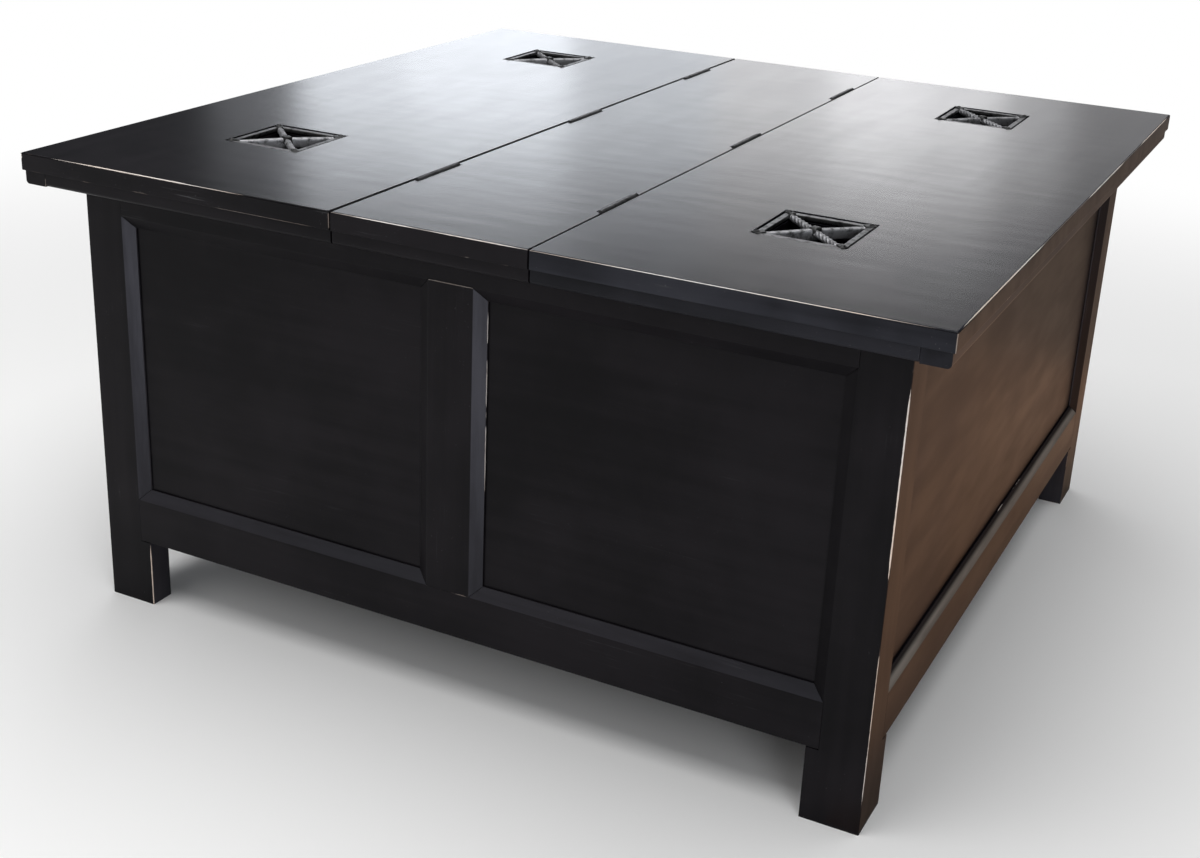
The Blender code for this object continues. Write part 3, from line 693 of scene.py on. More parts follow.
RAIL_BOTTOM, RAIL_TOP = 0.136, 0.4393
CHAMFER_DEPTH = 0.007
ARRIS_IN = 0.0006


def leg_arris(x, top, bottom, width, gaps, bare):
    """An upright stretch on the front of a leg."""
    return (x, LEG_LOW[1], top), (x, LEG_LOW[1], bottom), width, gaps, bare


def front_arris(first, last, width, gaps, bare):
    """A stretch of the top's front arris, which is rounded and so lies a little further in."""
    y, z = FRONT + ARRIS_IN, TOP - ARRIS_IN
    return (first, y, z), (last, y, z), width, gaps, bare


def side_arris(first, last, width, gaps, bare):
    """A stretch of the top's right arris, rounded too."""
    x, z = SIDE - ARRIS_IN, TOP - ARRIS_IN
    return (x, first, z), (x, last, z), width, gaps, bare


CHAMFER_FOOT = LEG_LOW[1] + CHAMFER_DEPTH
RAIL_FOOT = LEG_HIGH[0] - CHAMFER_DEPTH
# A stretch is its two ends, how wide it is rubbed, how much of it is gaps, and how bare its wood is
# The unbroken thin stretches along the top's front and right arrises, and the stretch on the mullion's top
# joint, are partly wear and partly painted highlight; the stretch along the left lid's lower edge is painted
# highlight.
WEAR_AND_HIGHLIGHT_ARRISES = {
    "left_lid_board": [
        front_arris(-0.445, -0.19, 0.00048, 0.0, 0.65), front_arris(-0.41, -0.25, 0.00085, 0.05, 0.95),
        # Along the left lid's lower edge: a painted highlight.
        ((-0.25, FRONT, BOARD_LOW), (-0.11, FRONT, BOARD_LOW), 0.0007, 0.25, 0.20),
        ((LID_EDGE, FRONT, TOP), (LID_EDGE, FRONT, BOARD_LOW), 0.0008, 0.20, 0.20),
        ((-SIDE, FRONT, TOP), (-SIDE, FRONT, TOP - 0.007), 0.0016, 0.10, 0.8)],
    "centre_board": [
        front_arris(-0.12, 0.13, 0.00042, 0.0, 0.40), front_arris(-0.08, -0.01, 0.00052, 0.10, 0.9),
        front_arris(0.0, 0.10, 0.00050, 0.20, 0.85)],
    "right_lid_board": [
        front_arris(0.06, 0.475, 0.00042, 0.0, 0.45), front_arris(0.14, 0.44, 0.00050, 0.05, 0.85),
        ((SIDE, FRONT, TOP + 0.003), (SIDE, FRONT, TOP - 0.022), 0.0008, 0.20, 0.3),
        side_arris(-0.50, 0.52, 0.00042, 0.0, 0.22), side_arris(-0.47, -0.18, 0.00062, 0.05, 0.95),
        side_arris(-0.01, 0.19, 0.00055, 0.10, 0.85), side_arris(0.27, 0.46, 0.00062, 0.10, 0.85)],
    "front_right_leg": [
        leg_arris(LEG_HIGH[0], 0.447, 0.240, 0.0013, 0.05, 1.0),
        leg_arris(LEG_HIGH[0], 0.21, 0.010, 0.0009, 0.10, 0.75)],
    "front_left_leg": [leg_arris(LEFT_LEG_EDGE, 0.075, -0.01, 0.0010, 0.20, 0.8)],
    "front_mullion": [
        ((MULLION_EDGE, CHAMFER_FOOT, 0.45), (MULLION_EDGE, CHAMFER_FOOT, 0.22), 0.0006, 0.50, 0.60),
        # Along the mullion's top joint: partly chips, partly painted highlight.
        ((-MULLION_EDGE, LEG_LOW[1], RAIL_TOP), (0.030, LEG_LOW[1], RAIL_TOP), 0.0006, 0.20, 0.20)],
    "right_bottom_rail": [
        ((RAIL_FOOT, -0.14, RAIL_BOTTOM), (RAIL_FOOT, 0.14, RAIL_BOTTOM), 0.0006, 0.60, 0.6)],
}

# %% Which chamfers get a painted sheen
CHAMFER_TURN = math.radians(30)
POST_SHEEN_HEIGHTS, RAIL_SHEEN_HEIGHTS = (0.10, 0.42), (RAIL_BOTTOM - 0.015, RAIL_BOTTOM - 0.006)
POST_AMOUNT, RAIL_AMOUNT, RIGHT_RAIL_AMOUNT = 0.8, 0.4, 0.9
FACE_TURN = {"front": -90, "right": 0, "back": 90, "left": 180}
POST_FACE = {
    "front_left_leg": "front", "front_right_leg": "right", "back_right_leg": "back", "back_left_leg": "left",
    "front_mullion": "front", "back_mullion": "back"}


def painted_sheen_of(node):
    """Where the painted sheen goes. Posts: the chamfer on the right of their face. Bottom rails: the one that
    looks up. Others: none.
    """
    if node in POST_FACE:
        turn = math.radians(FACE_TURN[POST_FACE[node]]) + CHAMFER_TURN
        return (math.cos(turn), math.sin(turn), 0.0), POST_SHEEN_HEIGHTS, POST_AMOUNT, PAINTED_SHEEN
    if node.endswith("bottom_rail"):
        turn = math.radians(FACE_TURN[node.split("_")[0]])
        level, rise = math.cos(CHAMFER_TURN), math.sin(CHAMFER_TURN)
        facing = (level * math.cos(turn), level * math.sin(turn), rise)
        if node.startswith("right"):
            return facing, RAIL_SHEEN_HEIGHTS, RIGHT_RAIL_AMOUNT, RAIL_PAINTED_SHEEN
        return facing, POST_SHEEN_HEIGHTS, RAIL_AMOUNT, PAINTED_SHEEN
    return None


# %% Sort the boards
def nodes_with(*parts):
    """The names of the nodes that have one of these parts in them."""
    return [name for name in NODES if any(part in name for part in parts)]


TOP_BOARDS = ["left_lid_board", "centre_board", "right_lid_board"]
LIPPINGS, RAILS, PANELS = nodes_with("_lipping"), nodes_with("_rail"), nodes_with("_panel")
POSTS = nodes_with("_leg", "_mullion")
print("boards:", [len(group) for group in (TOP_BOARDS, LIPPINGS, RAILS, POSTS, PANELS)])

# %% Finishes
TOP_GLOSS, TOP_SPECULAR, TOP_RIPPLE, TOP_SAG = (0.215, 0.240), 0.20, 0.000003, 0.00009
FRAME_GLOSS, FRAME_SPECULAR, FRAME_RIPPLE = (0.34, 0.44), 0.095, 0.00006
EDGE_SPECULAR, SIDE_SPECULAR, SHADED_SPECULAR, LID_SIDE_SPECULAR = 0.10, 0.036, 0.05, 0.044
TOP_SCUFFING, PANEL_SCUFFING, EDGE_SCUFFING = 0.06, 0.35, 3.0
PANEL_PAINTED_SHADE = (RAIL_BOTTOM - 0.004, RAIL_BOTTOM + 0.020, 0.25)
RAIL_PAINTED_SHADE = (RAIL_BOTTOM - 0.0025, RAIL_BOTTOM - 0.0075, 0.06)
CUTOUT_INSET = 0.02
TOP_ROUND, FRAME_ROUND = 0.0009, 0.0008
NEXT_START = 0.83
CRISP_SEAM = {
    "centre_board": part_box("centre_board")[1][0], "right_lid_board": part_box("right_lid_board")[0][0]}
FACING, LEVEL, UPRIGHT = 0.9, 0.98, 0.5
CHAMFER_FACING, CHAMFER_LEAN = (0.84, 0.89), 0.4


def long_axis(node):
    """The axis along which a piece is longest, which is how its grain runs."""
    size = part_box(node)[1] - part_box(node)[0]
    return "xyz"[max(range(3), key=lambda axis: size[axis])]


def set_material(piece, material):
    """Gives a piece one material all over."""
    piece.data.materials.clear()
    piece.data.materials.append(material)


def paint_where(piece, material, wanted):
    """Adds another paint to a piece, on the faces for which wanted(face) is true."""
    piece.data.materials.append(material)
    for face in piece.data.polygons:
        if wanted(face):
            face.material_index = len(piece.data.materials) - 1


def looks_sideways(face):
    """True for faces that look out to the left or right, which get duller paint that mirrors less: painted
    shade on the sides.
    """
    return abs(face.normal.x) > FACING and face.normal.x * face.center.x > 0


def looks_inward(face):
    """True for faces of a leg that look towards the inside of the table, which get paler paint: painted light
    on faces in the table's shade.
    """
    sides = zip(face.normal[:2], face.center[:2])
    return any(abs(normal) > FACING and normal * place < 0 for normal, place in sides)


def is_shaded_chamfer(face):
    """True for a chamfer that looks down, or to the left as seen by somebody who stands in front of it. These
    get duller paint that mirrors less: painted shade.
    """
    normal = face.normal
    main = 0 if abs(normal.x) > abs(normal.y) else 1
    if not CHAMFER_FACING[0] < abs(normal[main]) < CHAMFER_FACING[1]:
        return False
    outward = math.copysign(1.0, normal[main])
    leftward = normal.y * -outward if main == 0 else normal.x * outward
    return normal.z < -CHAMFER_LEAN or leftward > CHAMFER_LEAN


def edge_tones(node):
    """The edges on the right are painted paler, as painted light where more light falls on that side: the
    right lid's board most of all.
    """
    if node == "right_lid_board":
        return LIT_RIGHT_LID_DARK, LIT_RIGHT_LID_PALE
    return (LIT_RIGHT_EDGE_DARK, LIT_RIGHT_EDGE_PALE) if node.startswith("right") else (PAINT_DEEP, PAINT_CLOUDED)


def in_cutout(face, box):
    """True for the upright walls of an opening in a board, which get duller paint: painted shade in the
    opening.
    """
    spans = list(zip(face.center, *box))[:2]
    inside = all(low + CUTOUT_INSET < at < high - CUTOUT_INSET for at, low, high in spans)
    return inside and abs(face.normal.z) < UPRIGHT


# %% Paint the top
for number, node in enumerate(TOP_BOARDS):
    board = rounded_copy(node, TOP_ROUND, "xyz", CRISP_SEAM.get(node))
    shared = {"box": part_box(node), "arrises": WEAR_AND_HIGHLIGHT_ARRISES[node], "start": NEXT_START * number}
    dull = {"grain": "x", "gloss": FRAME_GLOSS, "ripple": FRAME_RIPPLE, **shared}
    polish = {"grain": "y", "gloss": TOP_GLOSS, "specular": TOP_SPECULAR, "ripple": TOP_RIPPLE,
              "sag": TOP_SAG, "scuffing": TOP_SCUFFING}
    set_material(board, black_paint("polish_" + node, **polish, **shared))
    # Edges of the top: more scuffs, and on the right paler paint as painted light.
    lit_and_scuffed = {"tones": edge_tones(node), "scuffing": EDGE_SCUFFING}
    others = [("edge_", EDGE_SPECULAR, lit_and_scuffed, lambda face: face.normal.z < LEVEL),
              ("under_", EDGE_SPECULAR, {}, lambda face: face.normal.z < -FACING),
              ("side_", LID_SIDE_SPECULAR, {}, looks_sideways),
              ("cutout_", SIDE_SPECULAR, {}, lambda face: in_cutout(face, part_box(node)))]
    for prefix, specular, more, wanted in others:
        paint_where(board, black_paint(prefix + node, specular=specular, **more, **dull), wanted)
print("top boards:", len(TOP_BOARDS))

# %% Paint the frame and its panels
for number, node in enumerate(LIPPINGS + RAILS + POSTS + PANELS, start=len(TOP_BOARDS)):
    grain = "x" if node in PANELS and node.startswith(("front", "back")) else long_axis(node)
    if node in PANELS:
        piece = NODES[node]
    else:
        piece = rounded_copy(node, FRAME_ROUND, "xyz" if node in LIPPINGS else grain)
    # Pieces on the left and right get the duller paint: painted shade on the sides.
    beside = node.startswith(("left", "right"))
    specular = SIDE_SPECULAR if beside else FRAME_SPECULAR
    look = {"box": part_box(node), "grain": grain, "gloss": FRAME_GLOSS, "ripple": FRAME_RIPPLE,
            "bloom": painted_sheen_of(node), "arrises": WEAR_AND_HIGHLIGHT_ARRISES.get(node, ()), "start": NEXT_START * number}
    if node in LIPPINGS:
        look["tones"] = edge_tones(node)
        specular = EDGE_SPECULAR
    if node in PANELS:
        look["scuffing"] = PANEL_SCUFFING
    # Painted shade low on the side panels and bottom rails, in the corner where they meet.
    if beside and node in PANELS:
        look["dirt"] = PANEL_PAINTED_SHADE
    if beside and node.endswith("bottom_rail"):
        look["dirt"] = RAIL_PAINTED_SHADE
    set_material(piece, black_paint("paint_" + node, specular=specular, **look))
    if node.endswith(("_leg", "_lipping")):
        paint_where(piece, black_paint("side_" + node, specular=SIDE_SPECULAR, **look), looks_sideways)
    if node.endswith("_leg"):
        # Paler paint on the legs' inner faces: painted light.
        lit_inner_look = {**look, "tones": (INNER_LIT_DARK, INNER_LIT_PALE)}
        paint_where(piece, black_paint("inner_" + node, specular=SIDE_SPECULAR, **lit_inner_look), looks_inward)
    # Chamfers that look down or to the left get the duller paint: painted shade.
    if any(is_shaded_chamfer(face) for face in piece.data.polygons):
        paint_where(piece, black_paint("shaded_" + node, specular=SHADED_SPECULAR, **look), is_shaded_chamfer)
print("frame:", len(LIPPINGS + RAILS + POSTS), "rounded pieces and", len(PANELS), "panels")

# %% [markdown]
# ## Stained wood inside
#
# The chest's floor and the bearers under the seams are only stained: the grain shows as dark and lighter
# lines and there is hardly any gloss.

# %% Stain the inside
STAIN_DARK = (0.008, 0.006, 0.005, 1.0)
STAIN_LIGHT = (0.030, 0.021, 0.016, 1.0)
STAIN_GLOSS, STAIN_DEPTH = (0.55, 0.75), 0.00015


def stained_wood(name, grain, start):
    """Thin black stain on open-grained wood."""
    material, tree, place = new_material(name, {"Specular IOR Level": FRAME_SPECULAR})
    turned = {"Vector": place, "Location": (start, start, 0.0), "Rotation": GRAIN_TURN[grain]}
    film = use_group(FILM, Along=add_node(tree, "Mapping", turned).outputs[0])
    colour = colour_of(film["Tone"], STAIN_DARK, STAIN_LIGHT)
    rough = ramp_of(film["Gloss"], *GLOSS_SPAN, *STAIN_GLOSS)
    bump = bump_of(film["Height"], STAIN_DEPTH)
    wire_shader(tree, {"Base Color": colour, "Roughness": rough, "Normal": bump})
    return material


for number, node in enumerate(["chest_floor", "left_bearer", "right_bearer"]):
    set_material(NODES[node], stained_wood("stain_" + node, "y", number))
print("stained: chest floor and two bearers")

# %% [markdown]
# ## Forged grilles
#
# Each lid has two square iron grilles let into it. A flat frame lies in a shallow recess. Two bars cross in
# it: a deep bar on edge, and a square bar that was twisted while it was hot. Their ends are drawn out into
# flat toes, which lie on the frame's corners under a nail each, and a collar holds the crossing. Each grille
# is modelled at the world's origin, with its frame's top at zero. The bars could stay separate, but a smith
# welds them: so Boolean modifiers join them, and a remesh rounds the joints. A Displace modifier gives the
# dents of the hammer.

# %% Sizes of a grille
FRAME_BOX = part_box("right_front_grille_frame")
GRILLE_SIZE = FRAME_BOX[1][0] - FRAME_BOX[0][0]
GRILLE_THICK = FRAME_BOX[1][2] - FRAME_BOX[0][2]
CROSS_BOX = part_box("right_front_grille_cross")
CROSS_REACH = (CROSS_BOX[1][0] - CROSS_BOX[0][0]) / math.sqrt(2)
CROSS_DEPTH = FRAME_BOX[1][2] - CROSS_BOX[0][2]
GRILLE_PROUD = 0.0016
GRILLE_BAR = 0.0075
GRILLE_GAP = 0.0017
GRILLE_ROUND = 0.0006
BAR_WIDTH, BAR_ROUND, BAR_RISE = 0.0056, 0.0021, 0.0010
TWIST_SIZE, TWIST_TURNS, TWIST_CUTS = 0.0056, 3.5, 90
TOE_LENGTH, TOE_THICK, TOE_WIDTH = 0.0110, 0.0013, 0.0068
TOE_LAP, TOE_FLARE = 0.003, (1.0, 1.25, 0.8)
TOES_FROM = 0.93 * CROSS_REACH
FORGE_VOXEL = 0.0006
COLLAR_SIZE, COLLAR_RISE, COLLAR_DEPTH = 0.0105, 0.0024, CROSS_DEPTH * 0.8
COLLAR_TAPER, COLLAR_ROUND, COLLAR_TURN = 0.82, 0.0012, math.radians(20)
NAIL_RADIUS, NAIL_RISE, NAIL_SINK = 0.0026, 0.0013, 0.0002
NAIL_OUT = (CROSS_REACH + TOE_LENGTH * 0.40) / math.sqrt(2)
ORIGIN = (0.0, 0.0, 0.0)
HAMMER_SIZE, HAMMER_DEPTH, HAMMER_LEVEL = 0.006, 0.00035, 0.6


# %% Blocks and hammer marks
def new_piece(name):
    """Names the primitive that was just added and goes into edit mode with it."""
    piece = edit_all(bpy.context.object)
    piece.name = name
    return piece


def new_block(name, size, place=ORIGIN):
    """A cuboid of that size and place, in edit mode."""
    put_down()
    bpy.ops.mesh.primitive_cube_add(size=1.0)
    block = new_piece(name)
    bpy.ops.transform.resize(value=size)
    bpy.ops.transform.translate(value=place)
    return block


def turn(angle, axis):
    """In edit mode, turns what is selected about the world's origin."""
    bpy.ops.transform.rotate(value=angle, orient_axis=axis, center_override=ORIGIN)


def hammered(piece, seed):
    """Dents a piece as a hammer does, and shades it smooth."""
    take_up(piece)
    dents = bpy.data.textures.new("hammer_marks", "CLOUDS")
    dents.noise_scale = HAMMER_SIZE
    place = Vector((seed, 2 * seed, 0.0))
    piece.data.transform(Matrix.Translation(place))
    marks = {"texture": dents, "texture_coords": "LOCAL", "strength": HAMMER_DEPTH, "mid_level": HAMMER_LEVEL}
    add_modifier(piece, "DISPLACE", **marks)
    piece.data.transform(Matrix.Translation(-place))
    bpy.ops.object.shade_smooth_by_angle(angle=SMOOTH)
    return piece


# %% The flat frame
def grille_frame(name, seed):
    """A square ring of flat iron: a plane, inset and opened, then given its thickness."""
    put_down()
    bpy.ops.mesh.primitive_plane_add(size=GRILLE_SIZE - 2 * GRILLE_GAP)
    piece = new_piece(name)
    bpy.ops.mesh.inset(thickness=GRILLE_BAR - GRILLE_GAP)
    bpy.ops.mesh.delete(type="FACE")
    bpy.ops.mesh.select_all(action="SELECT")
    bpy.ops.mesh.subdivide(number_cuts=3)
    add_modifier(piece, "SOLIDIFY", thickness=GRILLE_THICK, offset=-1.0)
    add_modifier(piece, "BEVEL", width=GRILLE_ROUND, segments=2, limit_method="ANGLE")
    add_modifier(piece, "SUBSURF", subdivision_type="SIMPLE", levels=2, render_levels=2)
    return hammered(piece, seed)


# %% The bar on edge
def deep_bar(name):
    """A bar on edge along X: a cuboid, raised to the middle and rounded along its top."""
    bar = new_block(name, (2 * CROSS_REACH, BAR_WIDTH, CROSS_DEPTH), (0.0, 0.0, -CROSS_DEPTH / 2))
    bpy.ops.mesh.bisect(plane_co=ORIGIN, plane_no=(1.0, 0.0, 0.0))
    select_where(bar, "VERT", lambda v: abs(v.co.x) < CROSS_REACH / 2 and v.co.z > -CROSS_DEPTH / 2)
    bpy.ops.transform.translate(value=(0.0, 0.0, BAR_RISE))
    select_where(bar, "EDGE", lambda e: abs((e.verts[0].co + e.verts[1].co).y) > BAR_WIDTH / 2
                 and all(v.co.z > -CROSS_DEPTH / 2 for v in e.verts))
    bpy.ops.mesh.bevel(offset=BAR_ROUND, segments=3, affect="EDGES", clamp_overlap=True)
    return take_up(bar)


# %% The twisted bar
def twisted_bar(name):
    """A square bar along Y: a cuboid cut into short lengths and twisted, as high as the other bar."""
    bar = new_block(name, (TWIST_SIZE, TWIST_SIZE, 2 * CROSS_REACH))
    select_where(bar, "EDGE", lambda e: abs(e.verts[0].co.z - e.verts[1].co.z) > CROSS_REACH)
    bpy.ops.mesh.subdivide(number_cuts=TWIST_CUTS)
    angle = 2 * math.pi * TWIST_TURNS
    add_modifier(bar, "SIMPLE_DEFORM", deform_method="TWIST", deform_axis="Z", angle=angle)
    edit_all(bar)
    turn(math.pi / 2, "X")
    bpy.ops.transform.translate(value=(0.0, 0.0, BAR_RISE - TWIST_SIZE / math.sqrt(2)))
    return take_up(bar)


# %% Toes
def toe(name, angle):
    """A flat toe at the end of a bar: a small plate, wider at its tip, turned to its corner."""
    middle = CROSS_REACH + TOE_LENGTH / 2 - TOE_LAP
    plate = new_block(name, (TOE_LENGTH, TOE_WIDTH, 2 * TOE_THICK), (middle, 0.0, 0.0))
    select_where(plate, "FACE", lambda f: f.normal.x > FACING)
    bpy.ops.transform.resize(value=TOE_FLARE, center_override=(middle, 0.0, 0.0))
    bpy.ops.mesh.select_all(action="SELECT")
    turn(angle, "Z")
    return take_up(plate)


# %% The cross
def grille_cross(name, seed):
    """Both bars and their toes, welded into one forging and turned to the frame's corners."""
    cross = deep_bar(name)
    others = [twisted_bar("twisted_bar")] + [toe("toe", quarter * math.pi / 2) for quarter in range(4)]
    for other in others:
        add_modifier(cross, "BOOLEAN", object=other, operation="UNION", solver="EXACT")
        bpy.data.objects.remove(other)
    add_modifier(cross, "REMESH", mode="VOXEL", voxel_size=FORGE_VOXEL)
    add_modifier(cross, "SMOOTH", factor=0.5, iterations=2)
    edit_all(cross)
    turn(math.radians(-45), "Z")
    return hammered(cross, seed)


# %% The collar and the nails
def grille_collar(name, seed):
    """A square collar over the crossing: a block with its top drawn in, rounded and dented."""
    middle = (0.0, 0.0, COLLAR_RISE - COLLAR_DEPTH / 2)
    collar = new_block(name, (COLLAR_SIZE, COLLAR_SIZE, COLLAR_DEPTH), middle)
    select_where(collar, "FACE", lambda f: f.normal.z > FACING)
    bpy.ops.transform.resize(value=(COLLAR_TAPER, COLLAR_TAPER, 1.0), center_override=ORIGIN)
    bpy.ops.mesh.select_all(action="SELECT")
    bpy.ops.mesh.bevel(offset=COLLAR_ROUND, segments=3, affect="EDGES")
    bpy.ops.mesh.select_all(action="SELECT")
    bpy.ops.mesh.subdivide(number_cuts=3)
    turn(COLLAR_TURN, "Z")
    return hammered(collar, seed)


def grille_nails(name, seed):
    """Four domed nail heads, one on each toe."""
    put_down()
    bpy.ops.mesh.primitive_uv_sphere_add(segments=12, ring_count=8, radius=NAIL_RADIUS)
    nails = new_piece(name)
    bpy.ops.mesh.bisect(plane_co=ORIGIN, plane_no=(0.0, 0.0, 1.0), clear_inner=True, use_fill=True)
    bpy.ops.mesh.select_all(action="SELECT")
    bpy.ops.transform.resize(value=(1.0, 1.0, NAIL_RISE / NAIL_RADIUS), center_override=ORIGIN)
    bpy.ops.transform.translate(value=(NAIL_OUT, NAIL_OUT, TOE_THICK - NAIL_SINK))
    for _ in range(3):
        bpy.ops.mesh.duplicate()
        turn(math.pi / 2, "Z")
    bpy.ops.mesh.select_all(action="SELECT")
    bpy.ops.mesh.normals_make_consistent(inside=False)
    return hammered(nails, seed)


# %% [markdown]
# ## Iron and steel
#
# The grilles are black from the forge and bright in patches where hands and cloths rub them. The hinges are
# rolled steel, blackened too. Both are metals, so their base colour is what they mirror: the scale between
# the rubbed spots is a darker, rougher patch of the same.

# %% Forge scale
SCALE_PATCHES, SCALE_PITS = 130.0, 900.0


def forge_scale():
    """Patches of bare metal in dark scale, fewer of them on top, and fine pits."""
    tree, entry, give = new_group("forge_scale", {"Place": "Vector"}, ["Rubbed", "Pits"])
    patches = noise_of(entry["Place"], SCALE_PATCHES, 4.0, 0.6)
    pits = noise_of(entry["Place"], SCALE_PITS, 2.0)
    level = ramp_of(height_of(add_node(tree, "TexCoord").outputs["Normal"]), 0.3, 0.8, 1.0, 0.65)
    give("Rubbed", times(level, ramp_of(patches, 0.28, 0.56)))
    give("Pits", sum_of("MULTIPLY_ADD", patches, 0.6, times(pits, 0.4)))
    return tree


SCALE = forge_scale()


# %% Metals
PIT_DEPTH = 0.0001


def dark_metal(name, dark, bright, rough):
    """Blackened iron or steel, rubbed bright in places. Rough is for the scale and for the rubbed metal."""
    material, tree, place = new_material(name, {"Metallic": 1.0})
    scale = use_group(SCALE, Place=place)
    colour = colour_of(scale["Rubbed"], dark, bright)
    roughness = ramp_of(scale["Rubbed"], 0.0, 1.0, *rough)
    bump = bump_of(scale["Pits"], PIT_DEPTH)
    wire_shader(tree, {"Base Color": colour, "Roughness": roughness, "Normal": bump})
    return material


FRAME_IRON = dark_metal("frame_iron", (0.07, 0.07, 0.072, 1.0), (0.36, 0.36, 0.37, 1.0), (0.60, 0.46))
BAR_IRON = dark_metal("bar_iron", (0.09, 0.09, 0.09, 1.0), (0.50, 0.50, 0.52, 1.0), (0.60, 0.48))
BLACK_IRON = dark_metal("black_iron", (0.018, 0.018, 0.018, 1.0), (0.095, 0.095, 0.095, 1.0), (0.60, 0.40))
STEEL = dark_metal("hinge_steel_rubbed", (0.022, 0.022, 0.022, 1.0), (0.15, 0.15, 0.155, 1.0), (0.52, 0.40))
print("metals:", [metal.name for metal in (FRAME_IRON, BAR_IRON, BLACK_IRON, STEEL)])

# %% [markdown]
# ## Set the grilles in the lids
#
# Every grille has its own mesh and its own hammer marks, as four from one smith would. Its mesh is moved, and
# not the object, so that the object itself stays at the origin.

# %% Place the grilles
SEED_STEP, CROSS_SEED, COLLAR_SEED, NAIL_SEED = 0.31, 0.11, 0.23, 0.17


def set_in_lid(piece, place, metal, body, replaced=None):
    """Moves a finished piece's mesh to its place and hangs it on its lid."""
    piece.data.transform(Matrix.Translation(place))
    set_material(piece, metal)
    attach(piece, body)
    if replaced:
        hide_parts(replaced)


for number, where in enumerate(["left_front", "left_back", "right_front", "right_back"]):
    low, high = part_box(where + "_grille_frame")
    place = ((low[0] + high[0]) / 2, (low[1] + high[1]) / 2, high[2] + GRILLE_PROUD)
    lid = where.split("_")[0] + "_lid"
    seed = SEED_STEP * number
    ring = grille_frame(where + "_forged_frame", seed)
    set_in_lid(ring, place, FRAME_IRON, lid, where + "_grille_frame")
    # The ring's upright faces get the dark iron: painted shade in the recess.
    paint_where(ring, BLACK_IRON, lambda face: abs(face.normal.z) < UPRIGHT)
    cross = grille_cross(where + "_forged_cross", seed + CROSS_SEED)
    set_in_lid(cross, place, BAR_IRON, lid, where + "_grille_cross")
    paint_where(cross, BLACK_IRON, lambda face: (face.center - Vector(place)).xy.length > TOES_FROM)
    set_in_lid(grille_collar(where + "_forged_collar", seed + COLLAR_SEED), place, BLACK_IRON, lid)
    set_in_lid(grille_nails(where + "_grille_nails", seed + NAIL_SEED), place, BLACK_IRON, lid)

# %% [markdown]
# ## Hinges and their screws
#
# A butt hinge's leaves are screwed to the edges of the boards and face each other when the lid is shut. Their
# knuckles show as thin barrels in the seam. The leaves and pins are copies of their solids, merged and shaded
# smooth, with the knuckles drawn in a little, as thin rolled steel is. The screws are added here: a
# countersunk head with a slot, modelled once and copied, three to a leaf.

# %% Slim the knuckles
KNUCKLE_SLIM = 0.76
KNUCKLE_NECK = 0.0037


def hinge_axis(node):
    """The middle of the pin of the hinge that a leaf or pin belongs to."""
    low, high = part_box(node.split("_hinge_")[0] + "_hinge_pin")
    return (low + high) / 2


def slim_knuckles(piece, node):
    """Draws all that lies above a leaf's neck in towards the pin, and leaves its plate alone."""
    axis = hinge_axis(node)
    neck = axis[2] - KNUCKLE_NECK
    edit_all(piece)
    bpy.ops.mesh.bisect(plane_co=(0.0, 0.0, neck), plane_no=(0.0, 0.0, 1.0))
    select_where(piece, "VERT", lambda v: v.co.z > neck + MERGE)
    bpy.ops.transform.resize(value=(KNUCKLE_SLIM, 1.0, KNUCKLE_SLIM), center_override=axis)
    put_down()


# %% Smooth the hinges
HINGE_NODES = nodes_with("_hinge_")
for node in HINGE_NODES:
    piece = rounded_copy(node, 0.0, "")
    slim_knuckles(piece, node)
    set_material(piece, STEEL)
print("hinge pieces:", len(HINGE_NODES))

# %% One screw
SCREW_RADIUS, SCREW_RISE, SCREW_SLOT = 0.0029, 0.0004, 0.0007
SCREW_ROUND, SCREW_TAPER, SLOT_DEPTH = 0.6 * SCREW_RISE, 0.8, 1.3 * SCREW_RISE
SCREW_SPREAD, SCREW_HEIGHT = 0.026, 0.0062
SCREW_SPIN, HINGE_SPIN = 1.3, 9.0
LEAF_INSIDE = 0.00195


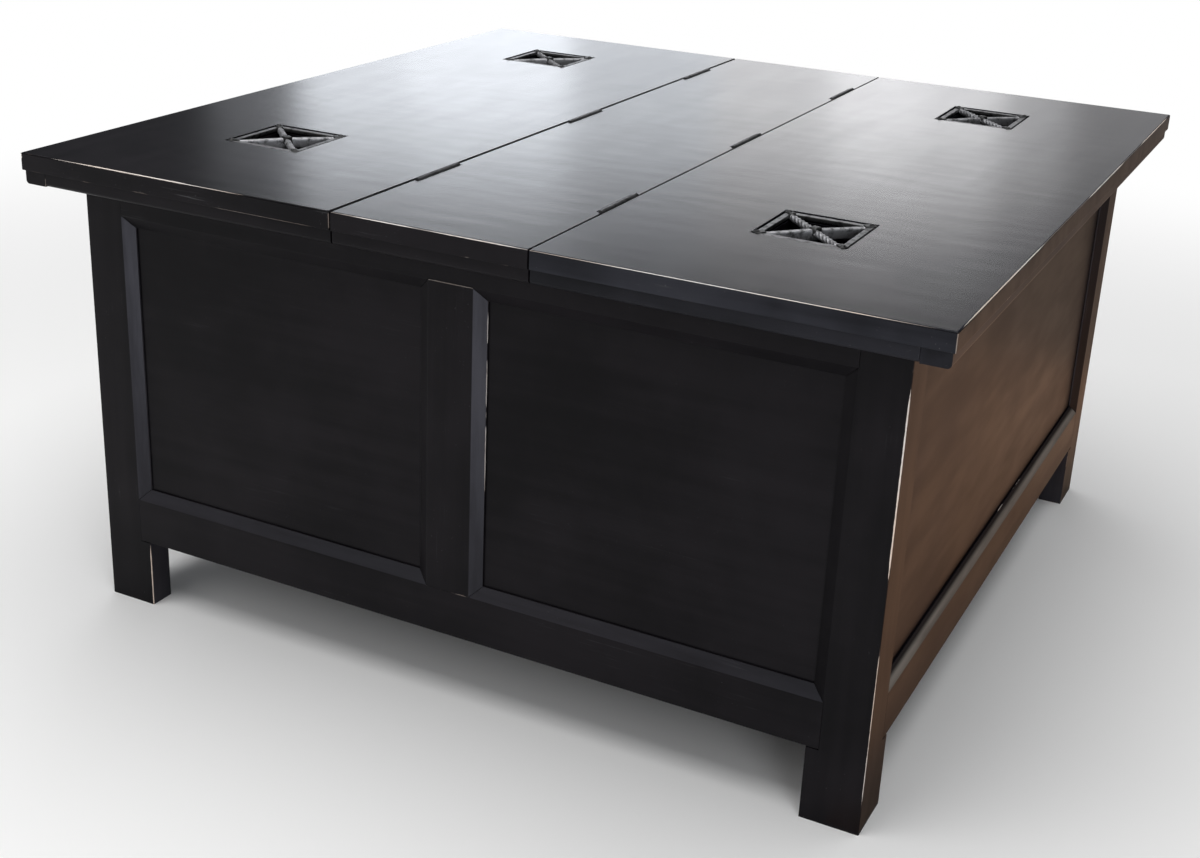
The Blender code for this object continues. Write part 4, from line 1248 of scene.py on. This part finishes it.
def screw_head():
    """A countersunk screw head that looks along +X, with its slot across it."""
    put_down()
    bpy.ops.mesh.primitive_cylinder_add(vertices=20, radius=SCREW_RADIUS, depth=2 * SCREW_RISE)
    head = new_piece("screw_head")
    select_where(head, "EDGE", lambda e: all(v.co.z > 0 for v in e.verts))
    bpy.ops.mesh.bevel(offset=SCREW_ROUND, segments=2, affect="EDGES")
    select_where(head, "FACE", lambda f: f.normal.z < -FACING)
    bpy.ops.transform.resize(value=(SCREW_TAPER, SCREW_TAPER, 1.0), center_override=(0.0, 0.0, -SCREW_RISE))
    cutter = new_block("screw_slot", (4 * SCREW_RADIUS, SCREW_SLOT, SLOT_DEPTH), (0.0, 0.0, SCREW_RISE))
    add_modifier(head, "BOOLEAN", object=cutter, operation="DIFFERENCE", solver="EXACT")
    bpy.data.objects.remove(cutter)
    edit_all(head)
    turn(math.radians(-90), "Y")
    take_up(head)
    bpy.ops.object.shade_smooth_by_angle(angle=SMOOTH)
    return head


HEAD = screw_head()
print("screw head box:", [tuple(round(v, 4) for v in corner) for corner in HEAD.bound_box][::6])


# %% Screws on a leaf
def leaf_screws(node, side):
    """Three screws on the inner face of a leaf. Side is +1 where that face looks along +X, otherwise -1."""
    pivot = hinge_axis(node)
    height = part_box(node)[0][2] + SCREW_HEIGHT
    body = NODES[node]["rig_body"]
    group = bpy.data.objects.new(node.replace("leaf", "screws"), bpy.data.meshes.new(node + "_screws"))
    bpy.context.scene.collection.objects.link(group)
    merged = bmesh.new()
    for step in (-1, 0, 1):
        one = HEAD.data.copy()
        place = Vector((pivot[0] - side * LEAF_INSIDE, pivot[1] + step * SCREW_SPREAD, height))
        spin = Matrix.Rotation(SCREW_SPIN * step + pivot[1] * HINGE_SPIN, 4, "X")
        flip = Matrix.Rotation(0.0 if side > 0 else math.pi, 4, "Z")
        one.transform(Matrix.Translation(place) @ flip @ spin)
        merged.from_mesh(one)
        bpy.data.meshes.remove(one)
    merged.to_mesh(group.data)
    merged.free()
    set_material(group, STEEL)
    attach(group, body)
    return group


for node in HINGE_NODES:
    if node.endswith("_leaf"):
        faces_right = node.startswith("left") == node.endswith("lid_leaf")
        leaf_screws(node, 1 if faces_right else -1)
bpy.data.objects.remove(HEAD)
print("screws:", 3 * sum(node.endswith("_leaf") for node in HINGE_NODES))
